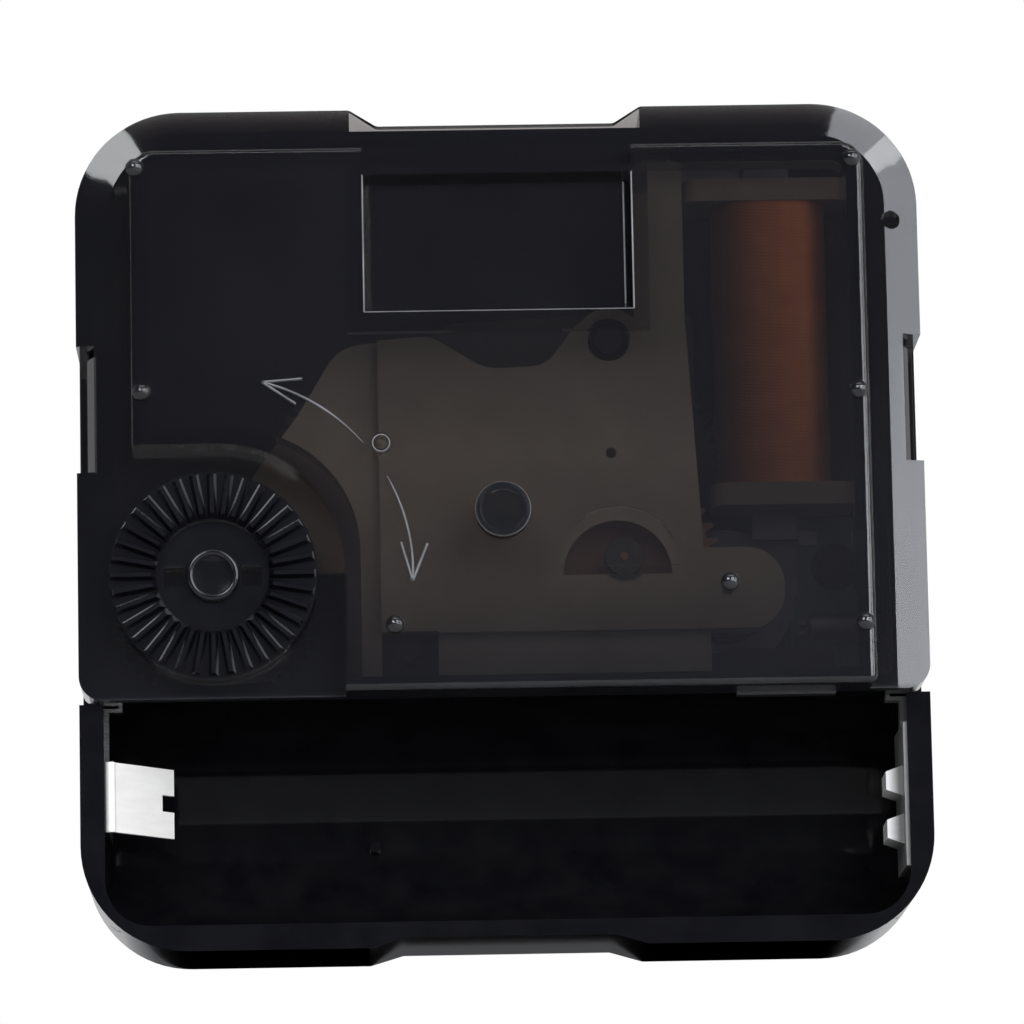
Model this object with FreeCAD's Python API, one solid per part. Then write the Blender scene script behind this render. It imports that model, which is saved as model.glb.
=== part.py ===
import FreeCAD, Part
import math
import os

# A quartz clock movement, seen from behind with twelve o'clock up.
# X runs to the right, Z runs up, and depth is counted backwards from the dial seat, along -Y.
# The origin is on the shaft axis, in the plane of the dial seat.

os.makedirs("parts", exist_ok=True)
V = FreeCAD.Vector

# Case
case_corner_radius = 7.0
shoulder_depth = 4.5
floor_thickness = 1.2
upper_wall = 1.1
foot_notch_depth = 0.65
foot_notch_half = 6.9
foot_notch_run = 2.2
head_notch_depth = 1.2
head_notch_half = 7.9
head_notch_run = 1.8

# Rear cover
skirt_wall = 1.2
skirt_clearance = 0.1
cover_thickness = 1.2
cover_overhang = 0.05
cover_bottom_radius = 1.7
bevel_width = 2.2
bevel_drop = 0.55
plateau_height = 2.5
plateau_wall = 1.1
plateau_margin = 3.7
plateau_head_margin = 3.2
plateau_corner_radius = 1.6
plateau_edge_round = 0.45
inner_round = 0.5
pocket_half = 8.9
pocket_height = 9.75
pocket_head_margin = 1.4
pocket_rim = 0.5
pocket_sink = 1.0
pocket_slope = 0.5
knob_room = 1.75
window_low = 3.4
window_high = 11.9
window_front = 6.2
latch_side_margin = 6.3
latch_reach = 0.3
latch_height = 1.05
pip_radius = 0.55
pip_tip_radius = 0.3
pip_height = 0.35
pip_sides = 12
centre_boss_radius = 1.8
centre_boss_height = 0.5
centre_dish_radius = 1.3
centre_dish_depth = 0.15
sight_shift_x = -0.46
sight_shift_z = -1.22
sight_radius = 3.95
sight_sink = 0.35
guide_ring_radius = 0.72
guide_ring_bore = 0.4
guide_ring_height = 0.45
vent_radius = 0.62
vent_depth = 0.9
pip_shares = {
    "top_left": (-0.984, 0.951),
    "top_right": (0.967, 0.951),
    "left": (-0.971, 0.335),
    "right": (0.971, 0.314),
    "low_centre": (-0.296, -0.306),
    "low_right": (0.971, -0.318),
}
vent_shares = {"left": (-0.889, 0.794), "right": (0.936, 0.708)}

# Snap hooks of the case, one in each window of the skirt
hook_margin = 0.3
hook_reach = 0.7
hook_rim_margin = 0.9
hook_slope = 1.8
hook_clearance = 0.1

# Battery bay
cell_length = 50.5
cell_end_room = 1.15
cell_radius = 7.25
cell_clearance = 0.15
bay_end_wall = 1.6
bay_low_wall = 1.7
bay_corner_share = 0.405
partition = 1.1
bay_share = 1.07
bay_nub_share = -0.31
bay_nub_drop = 1.3
bay_nub_radius = 0.35
bay_nub_height = 0.6

# Axes of the wheels, as shares of the reach of the train
motion_shares = (-0.792, 0.449)
third_shares = (0.731, 0.435)
fifth_shares = (0.806, -0.258)
rotor_shares = (1.48, -0.5)
knob_direction_deg = 217.0

# Tooth counts
rotor_teeth = 6
fifth_teeth = 36
fifth_pinion_teeth = 8
seconds_teeth = 40
seconds_pinion_teeth = 6
third_teeth = 45
third_pinion_teeth = 6
centre_teeth = 48
cannon_teeth = 12
motion_teeth = 48
motion_pinion_teeth = 12
hour_teeth = 36
setting_teeth = 44
pressure_deg = 20.0
addendum_share = 0.85
dedendum_share = 1.15
tooth_share = 0.45
leaf_addendum_share = 0.95
leaf_tooth_share = 0.40
leaf_waist_share = 0.72

# Layers, counted backwards from the dial seat
hour_gap = 0.3
layer_pitch = 1.1
wheel_thickness = 0.6
pinion_overlap = 0.15
layer_gap = 0.1
plate_gap = 0.4
middle_plate_thickness = 0.8
yoke_rise = 0.8
yoke_thickness = 0.7
core_thickness = 0.8
fifth_gap = 0.5
bridge_gap = 0.4
bridge_thickness = 0.8
platform_rise = 0.9

# Arbors, pipes and running fits
running_clearance = 0.05
pivot_radius = 0.3
pivot_depth = 0.6
motion_pivot_radius = 0.5
seconds_arbor_radius = 0.55
seconds_journal_radius = 0.7
seconds_seat_step = 0.2
seconds_hub_radius = 0.9
seconds_seat_length = 1.9
minute_pipe_radius = 1.8
minute_seat_step = 0.2
minute_hub_radius = 1.15
minute_seat_length = 2.9
hour_pipe_radius = 2.75
hour_seat_step = 0.25
hour_seat_length = 2.9
hour_slit_length = 2.2
hour_slit_width = 0.5
neck_radius = 3.95
neck_length = 5.5
neck_seat_step = 0.45
neck_flange_width = 0.9
neck_flange_thickness = 0.6
neck_chamfer = 0.4
rotor_hub_radius = 0.8
magnet_radius = 2.7
magnet_length = 1.3
slip_washer_radius = 2.4
slip_washer_thickness = 0.2

# Setting knob
knob_radius = 6.85
knob_gap = 0.2
knob_disc = 1.6
knob_dish_radius = 3.7
knob_dish_sink = 0.5
rib_count = 36
rib_height = 0.6
rib_margin = 0.1
rib_base = 0.62
rib_crest = 0.26
knob_hub_radius = 1.68
knob_hub_height = 0.5
knob_cup_radius = 1.3
knob_cup_depth = 0.7
knob_pip_radius = 0.9
knob_slot_offset = 2.55
knob_slot_width = 1.3
knob_slot_height = 1.4
setting_shaft_radius = 1.5
setting_pivot_radius = 0.8
setting_thickness = 0.8
setting_clearance = 0.5

# Train bridge and middle plate, drawn as shares of their reach round the shaft
bridge_shares = [
    (-1.03, -1.03, 0),
    (-1.03, -0.33, 0),
    (-1.55, -0.33, 0.18),
    (-1.70, 0.25, 0.30),
    (-1.33, 0.75, 0.30),
    (-1.06, 1.20, 0.30),
    (-0.45, 1.24, 0.24),
    (-0.09, 1.015, 0.30),
    (0.31, 1.03, 0.20),
    (0.55, 1.35, 0.20),
    (0.906, 1.35, 0),
    (1.24, 1.35, 0),
    (1.33, -0.21, 0),
    (1.86, -0.21, 0.25),
    (1.86, -0.76, 0.25),
    (1.37, -0.76, 0),
    (1.37, -1.03, 0),
]
plate_shares = [
    (-1.03, -1.00, 0),
    (1.22, -1.00, 0),
    (1.32, 0.10, 0),
    (1.32, 1.50, 0.12),
    (-0.30, 1.42, 0.20),
    (-1.03, 1.00, 0.20),
]
platform_left_share = -0.805
platform_low_share = -0.75
platform_recess_clearance = 0.5
platform_wall = 0.8
bridge_notch_share = -0.43
bridge_arm_left = 0.54
bridge_arm_right = 0.2
bridge_arm_margin = 0.8
bridge_arm_round = 1.0
bridge_boss_radius = 1.25
bridge_leg_radius = 0.7
bridge_leg_shares = {"low_left": (-0.92, -0.92), "low_right": (1.14, -0.93), "high_left": (-0.93, 0.86)}
sight_bridge_radius = 3.6
staked_post_shares = (0.731, 1.199)
staked_post_radius = 0.9
staked_head_radius = 1.35
staked_head_height = 0.7
pin_shares = (-0.627, -0.85)
pin_radius = 0.7
seat_clearance = 0.1

# Posts of the case
case_post_half = 1.0
case_post_shares = {
    "low_left": (-0.92, -0.9),
    "low_right": (0.95, -0.9),
    "high_centre": (-0.1, 1.24),
    "high_right": (1.18, 1.36),
}
rotor_post_radius = 1.2
arm_post_drop = 1.8

# Stepping motor
rotor_air_gap = 0.4
yoke_ring = 1.5
yoke_flat = 0.5
yoke_leg_width = 2.6
yoke_leg_gap = 0.3
yoke_neck_shift = 0.8
yoke_neck_share = 0.15
yoke_head_gap = 0.3
yoke_bar = 2.0
rotor_notch_radius = 0.45
core_half = 1.5
core_clearance = 0.05
coil_share = 0.65
coil_gap = 1.15
coil_length = 22.1
coil_head_gap = 2.15
coil_flange_thickness = 1.5
coil_flange_right_reach = 5.2
coil_low_flange_share = 1.4
coil_high_flange_reach = 5.7
rotor_to_coil = 3.4
coil_flange_round = 1.0
winding_width = 7.6
winding_depth = 5.2
winding_round = 2.3
bobbin_wall = 0.4

# Circuit board
board_side_gap = 0.4
board_low_gap = 1.3
board_high_gap = 0.25
board_yoke_gap = 0.6
board_thickness = 0.8
board_corner_radius = 0.4
chip_drop = 3.3
chip_radius = 1.6
chip_top_radius = 0.9
chip_height = 0.9
chip_sides = 16
crystal_radius = 0.95
crystal_side_gap = 0.2
crystal_ring_gap = 0.3
crystal_rise = 2.4
crystal_round = 0.25
crystal_pin_half = 0.15
crystal_pin_length = 0.5
crystal_pin_spread = 0.35
pad_width = 1.2
pad_height = 0.9
pad_thickness = 0.15
latch_block_height = 1.9
latch_block_rim_margin = 0.4
latch_block_margin = 1.0
latch_block_gap = 0.5

# Battery contacts, whose heights are shares of the reach of the bay round its axis
strip = 0.25
contact_front_share = 0.649
contact_rim_margin = 0.3
leaf_high_share = 0.466
leaf_low_share = -0.155
leaf_reach = 3.9
leaf_drop = 4.4
leaf_slot_width = 1.1
leaf_slot_length = 0.75
leaf_clearance = 0.1
tail_drop = 1.0
tail_width = 1.3
tail_clearance = 0.1
tail_inset = 1.2
tongue_width = 1.5
plus_high_share = 0.716
plus_low_share = -0.568
tab_half = 1.0
tab_crest_half = 0.6
tab_offset = 1.6
tab_reach = 1.1
tab_length = 3.6
tab_rise = 1.0

# One overrun serves every cut
over = 1.0

# Layers, each laid on the one before
hour_front = floor_thickness + hour_gap
motion_front = hour_front + layer_pitch
centre_front = motion_front + layer_pitch
third_front = centre_front + layer_pitch
third_rear = third_front + wheel_thickness
middle_plate_front = third_rear + plate_gap
middle_plate_rear = middle_plate_front + middle_plate_thickness
seconds_front = middle_plate_rear + plate_gap
yoke_front = middle_plate_rear + yoke_rise
yoke_rear = yoke_front + yoke_thickness
core_rear = yoke_rear + core_thickness
core_middle = (yoke_rear + core_rear) / 2
fifth_front = yoke_rear + fifth_gap
bridge_front = fifth_front + wheel_thickness + bridge_gap
bridge_rear = bridge_front + bridge_thickness
platform_rear = bridge_rear + platform_rise
magnet_front = yoke_front - plate_gap
rim_depth = platform_rear
cover_depth = rim_depth + cover_thickness
plateau_depth = cover_depth + plateau_height

# Widths, which follow the length of the cell
bay_half = cell_length / 2 + cell_end_room
half_width = bay_half + bay_end_wall
skirt_inner = half_width - skirt_wall
rim_outer = skirt_inner - skirt_clearance
inner_half = rim_outer - upper_wall
plateau_half = half_width - plateau_margin
coil_x = half_width * coil_share
rotor_x = coil_x - rotor_to_coil
train_reach = rotor_x / rotor_shares[0]


def spot(shares):
    """A place on the train from its shares of the train's reach."""
    return (shares[0] * train_reach, shares[1] * train_reach)


motion_x, motion_z = spot(motion_shares)
third_x, third_z = spot(third_shares)
fifth_x, fifth_z = spot(fifth_shares)
rotor_z = spot(rotor_shares)[1]
staked_post_x, staked_post_z = spot(staked_post_shares)
pin_x, pin_z = spot(pin_shares)
platform_left = train_reach * platform_left_share
platform_low = train_reach * platform_low_share
bridge_notch_right = train_reach * bridge_notch_share
bridge_right = train_reach * bridge_shares[-1][0]
sight_x = fifth_x + sight_shift_x
sight_z = fifth_z + sight_shift_z

# Motor
rotor_hole = magnet_radius + rotor_air_gap
yoke_ring_outer = rotor_hole + yoke_ring
coil_low = rotor_z + yoke_ring_outer + coil_gap
coil_high = coil_low + coil_length
winding_low = coil_low + coil_flange_thickness
winding_high = coil_high - coil_flange_thickness
coil_flange_right = coil_x + coil_flange_right_reach
coil_low_flange_left = train_reach * coil_low_flange_share
coil_high_flange_left = coil_x - coil_high_flange_reach
coil_flange_depth = 2 * (rim_depth - layer_gap - core_middle)
yoke_top = coil_high + coil_head_gap
yoke_leg_right = coil_high_flange_left - yoke_leg_gap
yoke_leg_left = yoke_leg_right - yoke_leg_width
yoke_neck_top = train_reach * yoke_neck_share
arm_post_x = (yoke_leg_left + yoke_leg_right) / 2
arm_post_z = yoke_top - arm_post_drop

# Heights of the case, which follow the coil above the shaft and the train below it
inner_top = yoke_top + yoke_head_gap
rim_top = inner_top + upper_wall
skirt_inner_top = rim_top + skirt_clearance
case_top = skirt_inner_top + skirt_wall
plateau_top = case_top - plateau_head_margin
pocket_high = plateau_top - pocket_head_margin
pocket_low = pocket_high - pocket_height
bay_top = -train_reach * bay_share
bay_wall_z = bay_top - partition
bay_reach = cell_radius + cell_clearance
bay_axis_z = bay_wall_z - bay_reach
bay_corner_radius = bay_reach * bay_corner_share
bay_axis_depth = floor_thickness + bay_reach
case_bottom = bay_axis_z - bay_reach - bay_low_wall
cover_bottom = bay_wall_z - cover_overhang
upper_low = cover_bottom - skirt_clearance

# Circuit board
board_left = coil_x + case_post_half + seat_clearance
board_right = inner_half - board_side_gap
board_low = bay_top + board_low_gap
board_high = coil_low - board_high_gap
board_rear = yoke_front - board_yoke_gap
board_front = board_rear - board_thickness
chip_x = (board_left + board_right) / 2
chip_z = board_high - chip_drop
crystal_left = rotor_x + yoke_ring_outer + crystal_ring_gap + crystal_pin_length
crystal_length = board_right - crystal_side_gap - crystal_left
crystal_z = board_low + crystal_rise

# Contacts and latch
contact_front = bay_axis_depth - bay_reach * contact_front_share
contact_rear = rim_depth - contact_rim_margin
leaf_high = bay_axis_z + bay_reach * leaf_high_share
leaf_low = bay_axis_z + bay_reach * leaf_low_share
plus_high = bay_axis_z + bay_reach * plus_high_share
plus_low = bay_axis_z + bay_reach * plus_low_share
tail_front = bay_axis_depth - tail_drop
tail_rear = tail_front + tail_width
tab_rear = bay_axis_depth + tab_rise
tab_front = tab_rear - tab_length
latch_right = half_width - latch_side_margin
latch_left = bridge_right + latch_block_gap + latch_block_margin
hook_rear = rim_depth - hook_rim_margin

# Hand shafts, each ending beyond the one round it
neck_seat_radius = neck_radius + neck_seat_step
neck_flange_radius = neck_seat_radius + neck_flange_width
hour_seat_radius = hour_pipe_radius - hour_seat_step
minute_seat_radius = minute_pipe_radius - minute_seat_step
seconds_seat_radius = seconds_journal_radius - seconds_seat_step
hour_end = neck_length + layer_gap + hour_seat_length
minute_end = hour_end + layer_gap + minute_seat_length
seconds_end = minute_end + layer_gap + seconds_seat_length


def at(x, z, depth):
    """A point at this place and depth behind the dial seat."""
    return V(x, -depth, z)


def span(x1, z1, x2, z2):
    """The distance between two axes."""
    return math.hypot(x2 - x1, z2 - z1)


def bearing(x1, z1, x2, z2):
    """The direction from the first axis to the second, in degrees from +X towards +Z."""
    return math.degrees(math.atan2(z2 - z1, x2 - x1))


def rounded_wire(corners, depth):
    """A closed flat outline at this depth. Each corner is (x, z, radius)."""
    count = len(corners)
    stops = []
    for i in range(count):
        here = at(corners[i][0], corners[i][1], depth)
        radius = corners[i][2]
        if radius == 0:
            stops.append((here, here, here))
            continue
        back = (at(corners[i - 1][0], corners[i - 1][1], depth) - here).normalize()
        ahead_corner = corners[(i + 1) % count]
        ahead = (at(ahead_corner[0], ahead_corner[1], depth) - here).normalize()
        half = back.getAngle(ahead) / 2
        reach = radius / math.tan(half)
        middle = here + (back + ahead).normalize() * (radius / math.sin(half) - radius)
        stops.append((here + back * reach, middle, here + ahead * reach))
    edges = []
    for i in range(count):
        start, middle, end = stops[i]
        if (end - start).Length > Part.Vertex(start).Tolerance:
            edges.append(Part.Arc(start, middle, end).toShape())
        following = stops[(i + 1) % count][0]
        if (following - end).Length > Part.Vertex(end).Tolerance:
            edges.append(Part.makeLine(end, following))
    return Part.Wire(edges)


def slab(corners, front, rear):
    """A plate with this outline between two depths."""
    return Part.Face(rounded_wire(corners, front)).extrude(V(0, front - rear, 0))


def upright(left, right, low, high):
    """The four corners of an upright rectangle."""
    return [(left, low), (right, low), (right, high), (left, high)]


def rectangle(left, right, low, high, radius=0):
    """The corners of an upright rectangle, all rounded alike."""
    return [(x, z, radius) for x, z in upright(left, right, low, high)]


def block(left, right, low, high, front, rear):
    """An upright box between two depths."""
    return slab(rectangle(left, right, low, high), front, rear)


def tapered(front_corners, front, rear_corners, rear):
    """A block with flat faces between two outlines that have the same number of corners."""
    low = [at(x, z, front) for x, z in front_corners]
    high = [at(x, z, rear) for x, z in rear_corners]
    count = len(low)
    faces = [Part.Face(Part.makePolygon(low + low[:1])), Part.Face(Part.makePolygon(high + high[:1]))]
    for i in range(count):
        turn = [low[i], low[(i + 1) % count], high[(i + 1) % count], high[i], low[i]]
        faces.append(Part.Face(Part.makePolygon(turn)))
    return Part.Solid(Part.Shell(faces))


def pillar(x, z, half, front, rear):
    """A square post along the depth."""
    return block(x - half, x + half, z - half, z + half, front, rear)


def ring_of(x, z, radius, count):
    """The corners of a regular polygon."""
    turns = [2 * math.pi * i / count for i in range(count)]
    return [(x + radius * math.cos(turn), z + radius * math.sin(turn)) for turn in turns]


def disc(x, z, radius, front, rear):
    """A round bar along the depth."""
    return Part.makeCylinder(radius, rear - front, at(x, z, front), V(0, -1, 0))


def cone(x, z, front_radius, rear_radius, front, rear):
    """A tapered round bar along the depth."""
    return Part.makeCone(front_radius, rear_radius, rear - front, at(x, z, front), V(0, -1, 0))


def tube(x, z, radius, bore, front, rear):
    """A round tube along the depth."""
    return disc(x, z, radius, front, rear).cut(disc(x, z, bore, front - over, rear + over))


def joined(shapes):
    """One solid from pieces that meet."""
    return shapes[0].multiFuse(shapes[1:]).removeSplitter()


def group(shapes):
    """Separate solids kept together in one node."""
    return Part.makeCompound(shapes)


def save(name, shape):
    """Writes one sub-part."""
    shape.exportStep("parts/" + name + ".step")


def involute(cosine):
    """The involute of the angle that has this cosine, in radians."""
    angle = math.acos(min(cosine, 1))
    return math.tan(angle) - angle


def toothed_face(x, z, teeth, module, phase_deg, depth, leaf):
    """The outline of a spur wheel. A leaf outline is the finer one of a small pinion."""
    pitch = teeth * module / 2
    tip = pitch + module * (leaf_addendum_share if leaf else addendum_share)
    root = pitch - module * dedendum_share
    base = pitch * math.cos(math.radians(pressure_deg))
    half_pitch = math.pi * (leaf_tooth_share if leaf else tooth_share) / teeth

    def half_angle(radius):
        return half_pitch + involute(base / pitch) - involute(min(base / radius, 1))

    if leaf:
        flank = [(root, half_pitch * leaf_waist_share), (pitch, half_pitch), (tip, half_angle(tip))]
    else:
        flank = [(root, half_angle(root)), (tip, half_angle(tip))]
    points = []
    for i in range(teeth):
        middle = math.radians(phase_deg) + 2 * math.pi * i / teeth
        sides = [(radius, middle - turn) for radius, turn in flank]
        sides += [(radius, middle + turn) for radius, turn in reversed(flank)]
        for radius, angle in sides:
            points.append(at(x + radius * math.cos(angle), z + radius * math.sin(angle), depth))
    points.append(points[0])
    return Part.Face(Part.makePolygon(points))


def toothed(x, z, teeth, module, phase_deg, front, rear, leaf=False):
    """A spur wheel between two depths."""
    face = toothed_face(x, z, teeth, module, phase_deg, front, leaf)
    return face.extrude(V(0, front - rear, 0))


def meshed_phase(driver, driver_teeth, driver_phase, driven, driven_teeth):
    """The phase that sets a gap of the driven wheel on a tooth of the driver."""
    direction = bearing(driver[0], driver[1], driven[0], driven[1])
    return direction + 180 + (180 - (driver_phase - direction) * driver_teeth) / driven_teeth


def meshed_module(first, first_teeth, second, second_teeth):
    """The module that fills the distance between two axes."""
    return 2 * span(first[0], first[1], second[0], second[1]) / (first_teeth + second_teeth)


centre = (0, 0)
motion = (motion_x, motion_z)
third = (third_x, third_z)
fifth = (fifth_x, fifth_z)
rotor = (rotor_x, rotor_z)

motion_module = meshed_module(centre, cannon_teeth, motion, motion_teeth)
hour_module = meshed_module(centre, hour_teeth, motion, motion_pinion_teeth)
centre_module = meshed_module(centre, centre_teeth, third, third_pinion_teeth)
third_module = meshed_module(centre, seconds_pinion_teeth, third, third_teeth)
seconds_module = meshed_module(centre, seconds_teeth, fifth, fifth_pinion_teeth)
fifth_module = meshed_module(rotor, rotor_teeth, fifth, fifth_teeth)
setting_reach = motion_module * (motion_teeth + setting_teeth) / 2
knob_x = motion_x + setting_reach * math.cos(math.radians(knob_direction_deg))
knob_z = motion_z + setting_reach * math.sin(math.radians(knob_direction_deg))
knob = (knob_x, knob_z)
recess_radius = knob_radius + knob_room
recess_top = knob_z + recess_radius
recess_right = knob_x + recess_radius

cannon_phase = 0
motion_phase = meshed_phase(centre, cannon_teeth, cannon_phase, motion, motion_teeth)
setting_phase = meshed_phase(motion, motion_teeth, motion_phase, knob, setting_teeth)
motion_pinion_phase = 0
hour_phase = meshed_phase(motion, motion_pinion_teeth, motion_pinion_phase, centre, hour_teeth)
third_pinion_phase = 0
centre_phase = meshed_phase(third, third_pinion_teeth, third_pinion_phase, centre, centre_teeth)
seconds_pinion_phase = 0
third_phase = meshed_phase(centre, seconds_pinion_teeth, seconds_pinion_phase, third, third_teeth)
fifth_pinion_phase = 0
seconds_phase = meshed_phase(fifth, fifth_pinion_teeth, fifth_pinion_phase, centre, seconds_teeth)
rotor_phase = 0
fifth_phase = meshed_phase(rotor, rotor_teeth, rotor_phase, fifth, fifth_teeth)

setting_tip = motion_module * (setting_teeth / 2 + addendum_share)
fifth_leaf_tip = seconds_module * (fifth_pinion_teeth / 2 + leaf_addendum_share)


def tray_outline(low_notch):
    """The full outline from behind, with the head notch, and the foot notch where asked for."""
    head_end = head_notch_half + head_notch_run
    head_line = case_top - head_notch_depth
    head_round = head_notch_depth / 2
    corners = [
        (half_width, case_bottom, case_corner_radius),
        (half_width, case_top, case_corner_radius),
        (head_end, case_top, head_round),
        (head_notch_half, head_line, head_round),
        (-head_notch_half, head_line, head_round),
        (-head_end, case_top, head_round),
        (-half_width, case_top, case_corner_radius),
        (-half_width, case_bottom, case_corner_radius),
    ]
    if low_notch:
        foot_end = foot_notch_half + foot_notch_run
        foot_line = case_bottom + foot_notch_depth
        foot_round = foot_notch_depth
        corners += [
            (-foot_end, case_bottom, foot_round),
            (-foot_notch_half, foot_line, foot_round),
            (foot_notch_half, foot_line, foot_round),
            (foot_end, case_bottom, foot_round),
        ]
    return corners


def upper_outline(half, top, low, corner, foot_corner=0):
    """An upright shape with rounded top corners, used for the walls, the skirt and the plateau."""
    return [(-half, low, foot_corner), (half, low, foot_corner), (half, top, corner), (-half, top, corner)]


def bay_hollow():
    """The space for the cell: a half-round trough with straight sides above it and rounded end corners."""
    low = bay_axis_z - bay_reach
    mouth = rim_depth + over
    sides = Part.makePolygon([at(-bay_half, bay_wall_z, bay_axis_depth), at(-bay_half, bay_wall_z, mouth),
                              at(-bay_half, low, mouth), at(-bay_half, low, bay_axis_depth)])
    bottom = Part.Arc(at(-bay_half, low, bay_axis_depth),
                      at(-bay_half, bay_axis_z, bay_axis_depth - bay_reach),
                      at(-bay_half, bay_wall_z, bay_axis_depth)).toShape()
    trough = Part.Face(Part.Wire(sides.Edges + [bottom])).extrude(V(2 * bay_half, 0, 0))
    outline = [
        (-bay_half, low, bay_corner_radius),
        (bay_half, low, bay_corner_radius),
        (bay_half, bay_top, 0),
        (-bay_half, bay_top, 0),
    ]
    return trough.common(slab(outline, 0, mouth + over))


def snap_hook(side):
    """A sloped catch on the side wall that stands in the window of the skirt."""
    base = rim_outer - upper_wall / 2
    outer = rim_outer + hook_reach
    front = window_front + hook_clearance
    profile = [
        at(side * base, window_low + hook_margin, front),
        at(side * outer, window_low + hook_margin, front),
        at(side * outer, window_low + hook_margin, hook_rear - hook_slope),
        at(side * rim_outer, window_low + hook_margin, hook_rear),
        at(side * base, window_low + hook_margin, hook_rear),
    ]
    profile.append(profile[0])
    height = window_high - window_low - 2 * hook_margin
    return Part.Face(Part.makePolygon(profile)).extrude(V(0, 0, height))


def make_front_case():
    """The black tray: floor, walls, bay trough, snap hooks and the posts that carry the train."""
    base = slab(tray_outline(True), 0, shoulder_depth)
    upper = slab(upper_outline(rim_outer, rim_top, upper_low, case_corner_radius - skirt_wall - skirt_clearance),
                 shoulder_depth, rim_depth)
    upper = upper.common(slab(tray_outline(False), shoulder_depth, rim_depth))
    bay = slab(tray_outline(True), shoulder_depth, rim_depth)
    bay = bay.common(block(-half_width, half_width, case_bottom, upper_low, shoulder_depth, rim_depth))
    body = joined([base, upper, bay])
    inner_corner = case_corner_radius - skirt_wall - skirt_clearance - upper_wall
    body = body.cut(slab(upper_outline(inner_half, inner_top, bay_top, inner_corner, inner_round),
                         floor_thickness, rim_depth + over))
    body = body.cut(bay_hollow())
    body = body.cut(disc(knob_x, knob_z, setting_tip + setting_clearance, floor_thickness,
                         motion_front + setting_thickness + setting_clearance))
    pieces = [body, snap_hook(-1), snap_hook(1)]
    for shares in case_post_shares.values():
        x, z = spot(shares)
        pieces.append(pillar(x, z, case_post_half, floor_thickness, middle_plate_front))
    pieces.append(disc(rotor_x, rotor_z, rotor_post_radius, floor_thickness, magnet_front - layer_gap))
    pieces.append(pillar(coil_x, coil_low - case_post_half - seat_clearance, case_post_half, floor_thickness,
                         yoke_front))
    pieces.append(pillar(coil_x, yoke_top - yoke_bar / 2, case_post_half - seat_clearance, floor_thickness,
                         yoke_front))
    pieces.append(pillar(arm_post_x, arm_post_z, case_post_half, floor_thickness, yoke_front))
    pieces.append(disc(arm_post_x, arm_post_z, bridge_leg_radius, yoke_front, bridge_front))
    for x in (board_left + case_post_half, board_right - case_post_half):
        pieces.append(block(x - case_post_half, x + case_post_half, board_low, board_high, floor_thickness,
                            board_front))
    latch_rear = rim_depth - latch_block_rim_margin
    pieces.append(block(latch_left - latch_block_margin, latch_right + seat_clearance,
                        bay_top - seat_clearance, bay_top + latch_block_height, tail_rear + layer_gap, latch_rear))
    pieces.append(disc(half_width * bay_nub_share, bay_axis_z - bay_nub_drop, bay_nub_radius,
                       floor_thickness / 2, floor_thickness + bay_nub_height))
    body = joined(pieces)
    body = body.cut(disc(0, 0, neck_seat_radius + seat_clearance, -over, floor_thickness + over))
    body = body.cut(disc(0, 0, neck_flange_radius + seat_clearance, floor_thickness - neck_flange_thickness,
                         floor_thickness + over))
    for x, z, radius in ((motion_x, motion_z, motion_pivot_radius), (third_x, third_z, pivot_radius),
                         (knob_x, knob_z, setting_pivot_radius)):
        body = body.cut(disc(x, z, radius + running_clearance, floor_thickness - pivot_depth,
                             floor_thickness + over))
    body = body.cut(disc(rotor_x, rotor_z, pivot_radius + running_clearance,
                         magnet_front - layer_gap - pivot_depth, magnet_front))
    tail_x = inner_half - tail_clearance
    for side in (-1, 1):
        outer = side * (tail_x + tail_clearance)
        inner = side * (tail_x - strip - tail_clearance)
        body = body.cut(block(min(outer, inner), max(outer, inner), bay_wall_z - over, bay_top + over,
                              tail_front - tail_clearance, tail_rear + tail_clearance))
    return body


def bevelled_space():
    """The space under the cover's rear face, bevelled along its outer edge."""
    low = case_bottom
    edge = upper_outline(half_width, case_top, low, case_corner_radius)
    foot = upper_outline(half_width - bevel_width, case_top - bevel_width, low, case_corner_radius - bevel_width)
    bevel = Part.makeLoft([rounded_wire(edge, cover_depth - bevel_drop), rounded_wire(foot, cover_depth)], True,
                          True)
    return slab(edge, 0, cover_depth - bevel_drop).fuse(bevel)


def plateau_block(inset, front, rear):
    """The raised part of the cover without its pocket. An inset gives the hollow inside its wall."""
    half = plateau_half - inset
    top = plateau_top - inset
    low = cover_bottom + inset
    mass = slab(upper_outline(half, top, low, plateau_corner_radius - inset / 2, inner_round), front, rear)
    if inset == 0:
        rim = [edge for edge in mass.Edges if edge.BoundBox.YMax < -rear + plateau_edge_round]
        mass = mass.makeFillet(plateau_edge_round, rim)
    corner = recess_radius - inner_round
    left = -half_width - over
    recess = [
        (left, cover_bottom - over, 0),
        (recess_right + inset, cover_bottom - over, 0),
        (recess_right + inset, recess_top + inset, corner),
        (left, recess_top + inset, 0),
    ]
    mass = mass.cut(slab(recess, front - over, rear + over))
    strip_half = pocket_half + inset
    return mass.cut(block(-strip_half, strip_half, pocket_high - inset, case_top, front - over, rear + over))


def tapered_pocket(inset, rear, reach):
    """The hanger pocket of the plateau, with walls that slope in towards its floor."""
    floor_half = pocket_half - pocket_slope + inset
    low = pocket_low + pocket_slope - inset
    high = pocket_high - pocket_rim - pocket_slope + inset
    grow = pocket_slope * (pocket_sink + reach) / pocket_sink
    floor = upright(-floor_half, floor_half, low, high)
    mouth = upright(-floor_half - grow, floor_half + grow, low - grow, high + grow)
    return tapered(floor, rear - pocket_sink, mouth, rear + reach)


def pip(x, z):
    """A small moulded pip on the rear face of the cover."""
    return tapered(ring_of(x, z, pip_radius, pip_sides), plateau_depth,
                   ring_of(x, z, pip_tip_radius, pip_sides), plateau_depth + pip_height)


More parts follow.
